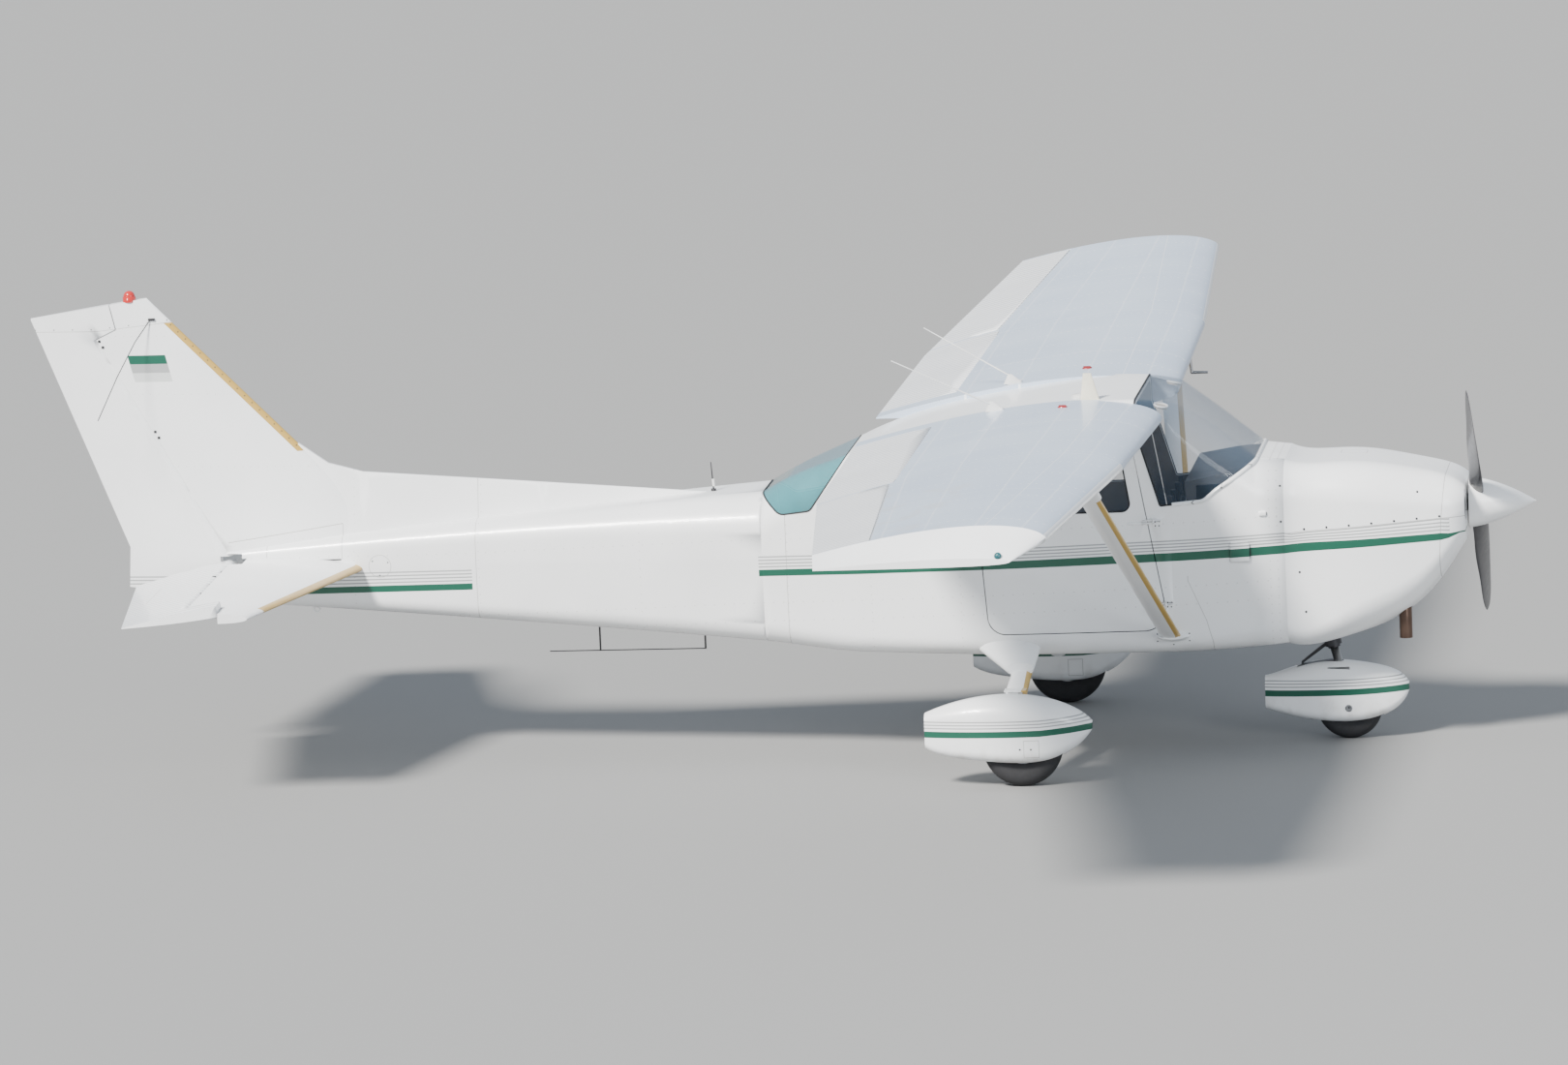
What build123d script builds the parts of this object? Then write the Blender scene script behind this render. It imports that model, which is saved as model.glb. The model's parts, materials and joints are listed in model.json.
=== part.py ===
from build123d import *
import os
from math import cos, radians, sin, sqrt

# A light four-seat aircraft with a braced high wing, parked on its wheels.
# Lengths are millimetres. A station is the distance aft of the spinner's tip.
# The nose points along +X, the left wing along +Y, and Z is the height above the ground.
tail_station = 8212
datum = tail_station / 2

# Clearances
glazing_gap = 0.3
panel_gap = 0.3
swing_gap = 5
door_gap = 5
surface_gap = 6
pin_gap = 0.05
wheel_gap = 6

# How far cutting shapes reach beyond the aircraft
far_side = 700
inner_side = 300
far_low = 300
far_high = 2700
cut_start = 10

# Skins
cowl_wall = 8
cabin_wall = 32
tail_wall = 8
glass_thickness = 6

# Body sections: station, half width, top, bottom, top corner radius, bottom corner radius
cowl_rows = [
    (372, 306, 1408, 1108, 90, 100),
    (430, 356, 1450, 1020, 150, 150),
    (545, 388, 1488, 865, 190, 190),
    (720, 412, 1524, 715, 205, 215),
    (990, 440, 1556, 612, 205, 190),
    (1335, 468, 1578, 583, 200, 130),
]
deck_rows = [
    (1335, 468, 1578, 583, 200, 130),
    (1480, 492, 1592, 574, 210, 125),
]
screen_rows = [
    (1480, 492, 1592, 574, 210, 125),
    (1600, 510, 1692, 568, 235, 120),
    (1770, 532, 1822, 563, 235, 110),
    (1940, 545, 1928, 561, 150, 105),
]
roof_rows = [
    (1940, 545, 1928, 561, 150, 105),
    (2300, 548, 1948, 560, 60, 105),
    (2840, 545, 1888, 563, 60, 105),
    (3300, 512, 1798, 572, 80, 110),
    (3640, 480, 1688, 582, 120, 115),
]
rear_rows = [
    (3640, 480, 1688, 582, 120, 115),
    (3850, 446, 1606, 598, 190, 120),
    (4010, 420, 1540, 617, 215, 125),
    (4180, 392, 1448, 636, 215, 125),
]
tail_rows = [
    (4180, 392, 1448, 636, 215, 125),
    (5430, 248, 1346, 740, 140, 105),
    (7240, 62, 1156, 872, 58, 56),
]

tail_room_end = 7000

# Shares of a body section: its foot, its belt and its shoulder
foot_share = 0.93
belt_share = 0.58
shoulder_share = 0.985
soft_share = 0.25
least_radius = 12

# Cowl
cowl_split_front = 1255
cowl_split_back = 1200
bowl_end = 492
cowl_end = 1335
inlet_width = 190
inlet_height = 130
inlet_centre = (205, 1290)
inlet_radius = 45
inlet_depth = 80
intake_width = 210
intake_opening = 78
intake_height = 985
intake_depth = 180
intake_radius = 27
cowl_exit_top = 680
nose_bay_top = 760
cowl_exit_width = 420
cowl_exit_length = 95
nose_bay_start = 1090
nose_bay_width = 150
shaft_height = 1281
crank_radius = 45

# Engine block
engine_front = 560
engine_length = 640
engine_width = 700
engine_height = 470
engine_centre = 1190
engine_mount_side = 150
engine_mount_size = 60
engine_case_share = 0.5
engine_bank_length = 0.8
engine_bank_height = 0.45
crank_nose_length = 25
firewall = 10
bulkhead = 12

# Windscreen, rear window and side windows as side views: (station, height), corner radius
screen_outline = [
    (1480, 1590), (1690, 1456), (1760, 1398), (1994, 1378), (2118, 1800), (2118, 2000), (1480, 2000),
]
screen_radii = [0, 120, 60, 12, 0, 0, 0]
rear_outline = [
    (3664, 1800), (3664, 1712), (3905, 1372), (4075, 1348), (4200, 1462), (4200, 1800),
]
rear_radii = [0, 40, 45, 60, 0, 0]
side_outline = [(3075, 1352), (3085, 1690), (3470, 1660), (3690, 1365)]
side_radii = [55, 45, 60, 50]

# Doors
door_outline = [(1960, 692), (2133, 1705), (2996, 1690), (2992, 1400), (2946, 684)]
door_radii = [120, 40, 110, 0, 100]
door_window = [(2150, 1352), (2196, 1640), (2925, 1630), (2925, 1345)]
door_window_radii = [45, 35, 70, 55]
door_hinge_low = (1981, -534, 841)
door_hinge_high = (2030, -554, 1298)
baggage_hinge_low = (3318, 502, 900)
baggage_hinge_high = (3318, 513, 1120)
knuckle_radius = 7
door_pin_radius = 3.5
hinge_pin_radius = 4
baggage_outline = [(3330, 820), (3330, 1200), (3800, 1180), (3800, 840)]
baggage_radii = [40, 40, 40, 40]

# Wing: y, station of the nose, height of the nose, chord, drop of the trailing edge
wing_rows = [
    (440, 1966, 1848, 1664, 108),
    (2600, 1992, 1912, 1608, 150),
    (5300, 2128, 1985, 1166, 60),
]
tip_rows = [
    (5300, 2128, 1985, 1166, 60),
    (5485, 2290, 1905, 980, 24),
]
foil_upper = [(0, 0), (0, 0.0594), (0.3084, 0.1425)]
foil_lower = [(0, 0), (0, -0.0762), (0.5587, -0.0318)]
tail_foil = [(0, 0), (0, 0.0486), (0.2384, 0.1060)]
trailing_edge = 5
wing_low = 1500
wing_high = 2300
wing_end = 4100

# Wing surfaces, as spans and fractions of the chord where they are hinged
flap_span = (625, 2735)
aileron_span = (2765, 5285)
flap_top_fraction = 0.735
flap_low_fraction = 0.675
flap_lean_height = 52
flap_low_share = 0.62
flap_pivot_drop = 20
flap_lug_reach = 55
flap_ear = [(0, -45), (-60, -82)]
surface_spots = (0.12, 0.5, 0.88)
nose_inset = 1
lug_radius = 9
lug_bar = 12
lug_thickness = 8
lug_side_gap = 3
lug_grip = 22
aileron_swing = 20
elevator_swing = 28
rudder_swing = 17
ear_thickness = 6
pin_grip = 8
tip_share = 0.35
aileron_fraction = 0.755

# Struts and gear
strut_foot = (1964, 550, 681)
strut_head = (2197, 2570, 1790)
strut_chord = 115
strut_thickness = 46
strut_lean = (-1, 0, 0.1)
strut_overrun = 0.06
gear_leg_rows = [
    (2758, 470, 640, 150, 62),
    (2768, 905, 432, 118, 46),
    (2745, 1105, 318, 96, 46),
    (2708, 1156, 226, 56, 56),
]
leg_cuff_rows = [
    (2850, 440, 628, 370, 130),
    (2766, 700, 530, 152, 72),
]
cuff_centre = (1948, 470, 661)
cuff_length = 230
cuff_height = 92
cuff_depth = 92
cuff_taper = 22
cuff_margin = 12
head_cuff_share = 0.955
head_cuff_length = 180
axle_start = 1150
main_axle_height = 215
nose_axle_height = 178
rim_width = 96
axle_overhang = 12
rim_width_share = 0.64
web_share = 0.4
web_slope = 8
hub_lip = 22
rim_lip = 8
tyre_corner_share = 0.46
main_rim_radius = 92
nose_rim_radius = 76
nose_axle_radius = 12
well_gap = 10
pant_hole_gap = 8
collar_height = 512
collar_length = 34
main_wheel = (2705, 1255)
nose_wheel_station = 1045
main_tyre_radius = 215
main_tyre_width = 150
nose_tyre_radius = 178
nose_tyre_width = 125
axle_radius = 18

# Wheel fairings: station, half width, top, bottom, top corner radius, bottom corner radius
main_pant_rows = [
    (2330, 22, 345, 300, 20, 18),
    (2400, 78, 400, 222, 70, 50),
    (2530, 122, 455, 156, 105, 62),
    (2705, 138, 487, 134, 115, 62),
    (2960, 118, 476, 150, 100, 58),
    (3225, 52, 400, 208, 46, 40),
]
nose_pant_rows = [
    (720, 22, 300, 258, 18, 16),
    (790, 72, 366, 165, 62, 44),
    (900, 102, 400, 118, 90, 52),
    (1060, 114, 424, 100, 98, 52),
    (1290, 96, 410, 120, 84, 50),
    (1500, 44, 350, 170, 38, 32),
]
pant_wall = 8
pant_least_radius = 4

# Nose strut, raked so that it leans forward at its foot
rake = 0.234
strut_tube_radius = 34
piston_radius = 24
strut_tube_top = 905
strut_tube_foot = 500
strut_mount = (1190, cowl_end, 820, 880)
strut_mount_half = 40
piston_foot = 395
fork_gap = 16
fork_plate = 12
fork_foot = 24
fork_depth = 24
fork_rise = 6
fork_front_gap = 10
fork_back_gap = 110
link_half_width = 28
link_sides = [
    [(1115, 412), (1115, 434), (1296, 410), (1296, 398)],
    [(1150, 520), (1150, 542), (1300, 424), (1300, 412)],
]
link_slot = (1080, 1325, 380, 500)
collar_wall = 12

# Tail surfaces
fin_rows = [
    (900, 5940, 1797),
    (1180, 6214, 1507),
    (2640, 7645, 641),
]
fin_share = 0.72
hinge_low = (7078, 905)
hinge_high = (7867, 2332)
rudder_radii = (57, 26)
rudder_spots = (0.045, 0.4, 0.9)
rudder_notch = (7000, 7215, 1030, 1125)
tail_notch = (7090, 7300, 1010, 1140)
low_lug_grip = 30
rudder_foot_room = (7020, tail_station, 888, 960)
rudder_foot_half = 66
fin_foot = 1100
dorsal_rows = [
    (4520, 1424, 1380, 40, 6),
    (5423, 1496, 1290, 70, 10),
    (6410, 1573, 1190, 70, 12),
    (6600, 1625, 1180, 60, 12),
    (6760, 1740, 1180, 50, 10),
]
stab_rows = [
    (0, 6381, 1056, 1309, -28),
    (1725, 6784, 1058, 686, -15),
]
stab_share = 0.66
elevator_hinge_height = 1070
elevator_noses = (42.5, 26.5)
elevator_droop = 10
torque_tube_radius = 16
torque_tube_grip = 20
stab_low = 800
stab_high = 1400
elevator_corner = (7900, 280)
elevator_tip = 2000
elevator_step = 80
horn_front = 6950
elevator_hinge_station = 7159
elevator_root = 95
stab_root_end = 7062
stab_root_half = 240
horn_start = 1555

# Propeller and spinner
# Blade sections: distance from the shaft, chord, thickness, pitch in degrees
blade_rows = [
    (50, 62, 56, 60),
    (170, 110, 40, 42),
    (420, 150, 24, 27),
    (720, 138, 15, 19),
    (900, 104, 9, 15),
    (952, 60, 6, 14),
]
hub_radius = 70
hub_length = 60
crank_nose_radius = 22
blade_angle = -44
prop_station = 318
spinner_base = 361
spinner_radius = 138
spinner_shoulder = (190, 118)
spinner_room = 10

# Cabin furniture: side views and sizes
panel_side = [(1480, 1570), (1480, 1490), (1800, 1480), (1800, 1020), (1830, 1010), (1860, 1500)]
seat_side = [(2250, 900), (2240, 1000), (2690, 1010), (2860, 1560), (2950, 1540), (2800, 880)]
bench_side = [(3060, 900), (3050, 1010), (3440, 1020), (3560, 1440), (3640, 1420), (3560, 880)]
seat_radii = [40, 40, 60, 40, 40, 60]
floor_height = 640
floor_end = 3700
seat_spacing = 520
seat_width = 440
bench_width = 820
rail_share = 0.35
rail_width = 30
rail_top = 890
rail_station = 2500
rail_length = 440
bench_rail_station = 3290
bench_rail_length = 380
bench_rail_side = 328
rail_centre = (floor_height + rail_top) / 2
yoke_station = 1955
yoke_root = 1835
yoke_side = 240
yoke_height = 1290
yoke_shaft_radius = 14
yoke_width = 240
yoke_thickness = 26
yoke_horn = 110

# Rods and little parts
exhaust_radius = 35
exhaust_wall = 3
exhaust_station = 712
exhaust_side = -235
exhaust_foot = 585
exhaust_bore = 300
exhaust_length = engine_centre - engine_bank_height * engine_height / 2 - panel_gap - exhaust_foot
beacon_foot = (7660, 0, 2538)
beacon_radius = 32
beacon_lip = 4
beacon_height = 30
step_centre = (2765, 960, 462)
step_length = 120
step_width = 80
step_thickness = 8
step_post = 60
lamp_centre = (2350, 5470, 1932)
lamp_radius = 20
whip_radius = 5
whip_rows = [
    ((2835, 500, 1918), (3360, 570, 2215)),
    ((2835, -500, 1918), (3420, -520, 2195)),
    ((4480, 0, 1430), (4490, 0, 1585)),
]
whip_base_radius = 14
whip_base_height = 34
whip_base_depth = 26
fin_antenna = (2360, -420, 1915)
fin_antenna_height = 175
fin_antenna_foot = (58, 17)
fin_antenna_crest = (22, 6)
fin_antenna_lean = 14
disc_antenna = (2430, -250, 1932)
disc_radius = 45
disc_height = 36
wire_radius = 3
belly_posts = [(5140, 760, 556), (4560, 720, 556)]
belly_wire = ((5420, 0, 556), (4556, 0, 556))
pitot_root = (2085, 2440, 1875)
pitot_elbow = (2062, 2440, 1660)
pitot_tip = (1970, 2440, 1660)
pitot_radii = (12, 9, 7)
eye_radius = 20
eye_hole_radius = 11
eye_thickness = 8
eye_rise = 45
wing_eye = (2300, 2720, 1805)
tail_eye = (6700, 0, 815)
tow_bore_radius = 5
tow_hole_radius = 20

os.makedirs("parts", exist_ok=True)
on_end = (Align.CENTER, Align.CENTER, Align.MIN)


def x_at(station):
    return datum - station


def side_points(outline):
    return [(x_at(station), height) for station, height in outline]


def across(station):
    return Plane(origin=(x_at(station), 0, 0), x_dir=(0, 1, 0), z_dir=(1, 0, 0))


def beside(y):
    return Plane(origin=(0, y, 0), x_dir=(1, 0, 0), z_dir=(0, -1, 0))


def rounded_face(plane, points, radii):
    with BuildSketch(plane) as face:
        with BuildLine():
            FilletPolyline(*points, radius=radii, close=True)
        make_face()
    return face.sketch


# A body section is a rounded box, a little narrower at its foot than at its belt.
def body_section(row, inset):
    station, half_width, top, bottom, top_radius, bottom_radius = row
    wide = half_width - inset
    foot = wide * foot_share
    shoulder = wide * shoulder_share
    belt = bottom + belt_share * (top - bottom)
    points = [
        (foot, bottom + inset), (wide, belt), (shoulder, top - inset),
        (-shoulder, top - inset), (-wide, belt), (-foot, bottom + inset),
    ]
    upper = max(top_radius - inset, least_radius)
    lower = max(bottom_radius - inset, least_radius)
    soft = (top - bottom) * soft_share
    return rounded_face(across(station), points, [lower, soft, upper, upper, soft, lower])


def lofted(rows, inset):
    with BuildPart() as shape:
        loft([body_section(row, inset) for row in rows])
    return shape.part


def hull(groups, inset):
    with BuildPart() as shape:
        for rows in groups:
            add(lofted(rows, inset))
    return shape.part


# A prism through the aircraft from a side view
def side_prism(outline, radii, inner, outer):
    with BuildPart() as shape:
        with BuildSketch(beside(-inner)):
            with BuildLine():
                FilletPolyline(*side_points(outline), radius=radii, close=True)
            make_face()
        extrude(amount=outer - inner)
    return shape.part


def grown_prism(outline, radii, inner, outer, growth):
    with BuildPart() as shape:
        with BuildSketch(beside(-inner)):
            with BuildLine():
                FilletPolyline(*side_points(outline), radius=radii, close=True)
            make_face()
            offset(amount=growth)
        extrude(amount=outer - inner)
    return shape.part


def slab(front, back, low, high, half_width):
    with BuildPart() as shape:
        with Locations(((x_at(front) + x_at(back)) / 2, 0, (low + high) / 2)):
            Box(back - front, 2 * half_width, high - low)
    return shape.part


def along(point, other, share):
    return tuple(a + share * (b - a) for a, b in zip(point, other))


def placed(point):
    return Vector(x_at(point[0]), point[1], point[2])


# A hinge: a lug on the fixed side, and a pin across a slot in the moving side.
# The plane's x axis points into the fixed side and its z axis lies along the hinge.
def hinge_lug(plane, reach, bar):
    with BuildPart() as shape:
        with BuildSketch(plane):
            with Locations((reach / 2, 0)):
                Rectangle(reach, bar)
            Circle(lug_radius)
            Circle(hinge_pin_radius + pin_gap, mode=Mode.SUBTRACT)
        extrude(amount=lug_thickness / 2, both=True)
    return shape.part


def hinge_slot(plane, reach, height):
    with BuildPart() as shape:
        with BuildSketch(plane):
            with Locations(((reach - lug_radius - lug_side_gap) / 2, 0)):
                Rectangle(reach + lug_radius + lug_side_gap, height)
        extrude(amount=lug_thickness / 2 + lug_side_gap, both=True)
    return shape.part


def hinge_pin(plane):
    with BuildPart() as shape:
        with BuildSketch(plane):
            Circle(hinge_pin_radius)
        extrude(amount=lug_thickness / 2 + lug_side_gap + pin_grip, both=True)
    return shape.part


def hinge_planes(start, end, spots, inward):
    return [Plane(origin=start + (end - start) * spot, x_dir=inward, z_dir=end - start) for spot in spots]


# The radius of a tapered nose at each of its hinges
def spot_radii(ends, spots):
    return [ends[0] + (ends[1] - ends[0]) * spot for spot in spots]


# Each slot lets its lug swing inside the round nose and stays closed above and below
def slotted(body, planes, radii, swing):
    with BuildPart() as shape:
        add(body)
        for plane, radius in zip(planes, radii):
            height = 2 * (radius * sin(radians(swing)) + lug_bar / 2 + swing_gap)
            add(hinge_slot(plane, radius + lug_grip, height), mode=Mode.SUBTRACT)
            add(hinge_pin(plane))
    return shape.part


def save(name, piece):
    piece.label = name
    export_step(piece, "parts/" + name + ".step")


def mirrored(piece):
    with BuildPart() as other:
        add(piece.mirror(Plane.XZ))
    return other.part


# Body volumes that the pieces are cut from
cowl_outer = lofted(cowl_rows, 0)
cowl_inner = lofted(cowl_rows, cowl_wall)
cabin_groups = [deck_rows, screen_rows, roof_rows, rear_rows]
cabin_outer = hull(cabin_groups, 0)
cabin_inner = hull(cabin_groups, cabin_wall)
cabin_glass = hull(cabin_groups, glass_thickness)
tail_outer = lofted(tail_rows, 0)
tail_inner = lofted(tail_rows, tail_wall)

# Cowl: the nose bowl, an upper half and a lower half
cowl_cavity = slab(cowl_rows[0][0] + cowl_wall, cowl_end, far_low, far_high, far_side)
with BuildPart() as cowl_skin:
    add(cowl_inner)
    add(cowl_cavity, mode=Mode.INTERSECT)
cowl_hollow = cowl_skin.part
cowl_split_line = [(bowl_end, cowl_split_front), (cowl_end, cowl_split_back)]
cowl_upper_side = cowl_split_line + [(cowl_end, far_high), (bowl_end, far_high)]
cowl_lower_side = cowl_split_line + [(cowl_end, far_low), (bowl_end, far_low)]

with BuildPart() as nose_bowl:
    add(cowl_outer)
    add(cowl_hollow, mode=Mode.SUBTRACT)
    add(slab(0, bowl_end, far_low, far_high, far_side), mode=Mode.INTERSECT)
    with BuildSketch(across(cowl_rows[0][0] - cut_start)):
        for side in (1, -1):
            with Locations((side * inlet_centre[0], inlet_centre[1])):
                RectangleRounded(inlet_width, inlet_height, inlet_radius)
        with Locations((0, shaft_height)):
            Circle(crank_radius + surface_gap)
    extrude(amount=-inlet_depth, mode=Mode.SUBTRACT)
    with BuildSketch(across(cowl_rows[0][0] - cut_start)):
        with Locations((0, intake_height)):
            RectangleRounded(intake_width, intake_opening, intake_radius)
    extrude(amount=-intake_depth, mode=Mode.SUBTRACT)

with BuildPart() as upper_cowl:
    add(cowl_outer)
    add(cowl_hollow, mode=Mode.SUBTRACT)
    add(side_prism(cowl_upper_side, 0, -far_side, far_side), mode=Mode.INTERSECT)

with BuildPart() as lower_cowl:
    add(cowl_outer)
    add(cowl_hollow, mode=Mode.SUBTRACT)
    add(side_prism(cowl_lower_side, 0, -far_side, far_side), mode=Mode.INTERSECT)
    exit_start = cowl_end - cowl_exit_length
    add(slab(exit_start, cowl_end, far_low, cowl_exit_top, cowl_exit_width / 2), mode=Mode.SUBTRACT)
    add(slab(nose_bay_start, cowl_end, far_low, nose_bay_top, nose_bay_width / 2), mode=Mode.SUBTRACT)
    with Locations((x_at(exhaust_station), exhaust_side, exhaust_foot)):
        Cylinder(exhaust_radius + wheel_gap, exhaust_length, mode=Mode.SUBTRACT)

with BuildPart() as engine_block:
    with Locations((x_at(engine_front + engine_length / 2), 0, engine_centre)):
        Box(engine_length, engine_width * engine_case_share, engine_height)
        Box(engine_length * engine_bank_length, engine_width, engine_height * engine_bank_height)
    with Locations(Plane(origin=(x_at(engine_front), 0, shaft_height), z_dir=(1, 0, 0))):
        Cylinder(crank_radius, engine_front - spinner_base - panel_gap, align=on_end)
        Cylinder(crank_nose_radius, engine_front - prop_station + crank_nose_length, align=on_end)
    with Locations((x_at((engine_front + engine_length + cowl_end) / 2), 0, engine_centre)):
        for side in (1, -1):
            with Locations((0, side * engine_mount_side, 0)):
                Box(cowl_end - engine_front - engine_length, engine_mount_size, engine_mount_size)

# Cabin shell: one skin from the firewall to the rear window, with its openings cut
screen_opening = side_prism(screen_outline, screen_radii, -far_side, far_side)
rear_opening = side_prism(rear_outline, rear_radii, -far_side, far_side)
side_opening = side_prism(side_outline, side_radii, inner_side, far_side)
door_opening = side_prism(door_outline, door_radii, inner_side, far_side)
baggage_opening = mirrored(side_prism(baggage_outline, baggage_radii, inner_side, far_side))
cabin_front = cowl_end + firewall
cabin_back = cabin_groups[-1][-1][0] - bulkhead
with BuildPart() as cabin_room:
    add(cabin_inner)
    add(slab(cabin_front, cabin_back, far_low, far_high, far_side), mode=Mode.INTERSECT)
with BuildPart() as cabin_skin:
    add(cabin_outer)
    add(cabin_room.part, mode=Mode.SUBTRACT)
with BuildPart() as glazing:
    add(cabin_outer)
    add(cabin_glass, mode=Mode.SUBTRACT)


def pane(outline, radii, inner, outer):
    with BuildPart() as glass:
        add(glazing.part)
        add(grown_prism(outline, radii, inner, outer, -glazing_gap), mode=Mode.INTERSECT)
    return glass.part


windscreen = pane(screen_outline, screen_radii, -far_side, far_side)
rear_window = pane(rear_outline, rear_radii, -far_side, far_side)
side_pane = pane(side_outline, side_radii, inner_side, far_side)
with BuildPart() as side_windows:
    add(side_pane)
    add(mirrored(side_pane))

# A door's hinges stand outside the skin: a lug on the cabin, and two ears with a pin on the door.
# In the hinge's plane x points forward, and inward is 1 or -1 along y.
door_lug_size = (40, 22)
door_lug_shift = 7
door_arm_size = (62, 10)
door_arm_start = -31
door_foot_size = (16, 18)
door_foot_place = (-54, 9)


def door_lug(plane, inward):
    with BuildPart() as shape:
        with BuildSketch(plane):
            Circle(knuckle_radius)
            with Locations((door_lug_size[0] / 2, inward * door_lug_shift)):
                Rectangle(*door_lug_size)
            Circle(door_pin_radius + pin_gap, mode=Mode.SUBTRACT)
        extrude(amount=lug_thickness / 2, both=True)
    return shape.part


def door_ears(plane, inward):
    with BuildPart() as shape:
        for side in (1, -1):
            with BuildSketch(plane.offset(side * (lug_thickness + ear_thickness + 1) / 2)):
                Circle(knuckle_radius)
                with Locations((door_arm_start, inward)):
                    Rectangle(*door_arm_size)
                with Locations((door_foot_place[0], inward * door_foot_place[1])):
                    Rectangle(*door_foot_size)
            extrude(amount=ear_thickness / 2, both=True)
        with BuildSketch(plane):
            Circle(door_pin_radius)
        extrude(amount=lug_thickness / 2 + ear_thickness, both=True)
    return shape.part


door_planes = hinge_planes(placed(door_hinge_low), placed(door_hinge_high), (0, 1), (1, 0, 0))
baggage_planes = hinge_planes(placed(baggage_hinge_low), placed(baggage_hinge_high), (0, 1), (1, 0, 0))
door_glass = pane(door_window, door_window_radii, inner_side, far_side)
with BuildPart() as door_right:
    add(cabin_skin.part)
    add(grown_prism(door_outline, door_radii, inner_side, far_side, -door_gap), mode=Mode.INTERSECT)
    add(side_prism(door_window, door_window_radii, inner_side, far_side), mode=Mode.SUBTRACT)
    for plane in door_planes:
        add(door_ears(plane, 1))
baggage_blank = grown_prism(baggage_outline, baggage_radii, inner_side, far_side, -door_gap)
with BuildPart() as baggage_door:
    add(cabin_skin.part)
    add(mirrored(baggage_blank), mode=Mode.INTERSECT)
    for plane in baggage_planes:
        add(door_ears(plane, -1))
with BuildPart() as cabin_shell:
    add(cabin_skin.part)
    for opening in (screen_opening, rear_opening, baggage_opening):
        add(opening, mode=Mode.SUBTRACT)
    for opening in (side_opening, door_opening):
        add(opening, mode=Mode.SUBTRACT)
        add(mirrored(opening), mode=Mode.SUBTRACT)
    for plane in door_planes:
        add(door_lug(plane, 1))
        add(mirrored(door_lug(plane, 1)))
    for plane in baggage_planes:
        add(door_lug(plane, -1))


# A wing or tail section: nose at the origin of its plane, chord along its x axis
def foil_face(plane, chord, upper, lower, edge, thickness=1.0):
    with BuildSketch(plane) as face:
        with BuildLine():
            Bezier(*[(chord * u, chord * v * thickness) for u, v in upper], (chord, edge / 2))
            Line((chord, edge / 2), (chord, -edge / 2))
            Bezier((chord, -edge / 2), *[(chord * u, chord * v * thickness) for u, v in reversed(lower)])
        make_face()
    return face.sketch


def wing_plane(y, station, height, chord, drop):
    run = sqrt(chord ** 2 - drop ** 2)
    return Plane(origin=(x_at(station), y, height), x_dir=(-run, 0, -drop), z_dir=(0, 1, 0))


def wing_loft(rows, tip_thickness=1.0):
    sections = []
    for number, row in enumerate(rows):
        share = tip_thickness if number == len(rows) - 1 else 1.0
        sections.append(foil_face(wing_plane(*row), row[3], foil_upper, foil_lower, trailing_edge, share))
    with BuildPart() as shape:
        loft(sections, ruled=True)
    return shape.part


wing_solid = wing_loft(wing_rows)


def wing_point(y, fraction):
    inner, outer = (wing_rows[0], wing_rows[1]) if y <= wing_rows[1][0] else (wing_rows[1], wing_rows[2])
    share = (y - inner[0]) / (outer[0] - inner[0])
    station, height, chord, drop = [a + share * (b - a) for a, b in zip(inner[1:], outer[1:])]
    return Vector(x_at(station + fraction * chord), y, height - fraction * drop)


def chord_at(y):
    inner, outer = (wing_rows[0], wing_rows[1]) if y <= wing_rows[1][0] else (wing_rows[1], wing_rows[2])
    return inner[3] + (y - inner[0]) / (outer[0] - inner[0]) * (outer[3] - inner[3])


# The height of one surface of the wing at a fraction of its chord, as a share of the chord
def surface_height(curve, fraction):
    low, high = 0, 1
    while high - low > 0.0001:
        t = (low + high) / 2
        if 3 * (1 - t) * t ** 2 * curve[2][0] + t ** 3 < fraction:
            low = t
        else:
            high = t
    return 3 * (1 - t) ** 2 * t * curve[1][1] + 3 * (1 - t) * t ** 2 * curve[2][1]


def half_thickness(fraction):
    return (surface_height(foil_upper, fraction) - surface_height(foil_lower, fraction)) / 2


def middle_height(fraction):
    return (surface_height(foil_upper, fraction) + surface_height(foil_lower, fraction)) / 2


def cone_between(start, end, start_radius, end_radius):
    axis = end - start
    with BuildPart() as shape:
        with BuildSketch(Plane(origin=start, z_dir=axis)) as first:
            Circle(start_radius)
        with BuildSketch(Plane(origin=end, z_dir=axis)) as last:
            Circle(end_radius)
        loft([first.sketch, last.sketch], ruled=True)
    return shape.part


# A block seen from above: everything aft of a line, between two spans
def plan_block(points, low, high):
    with BuildPart() as shape:
        with BuildSketch(Plane.XY.offset(low)):
            with BuildLine():
                Polyline(*points, close=True)
            make_face()
        extrude(amount=high - low)
    return shape.part


# Everything aft of a line along the wing, between two spans
def aft_block(span, ends, gap):
    inner = span[0] - gap
    outer = span[1] + gap
    tail = x_at(wing_end)
    corners = [(ends[0].X + gap, inner), (ends[1].X + gap, outer), (tail, outer), (tail, inner)]
    return plan_block(corners, wing_low, wing_high)


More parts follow.
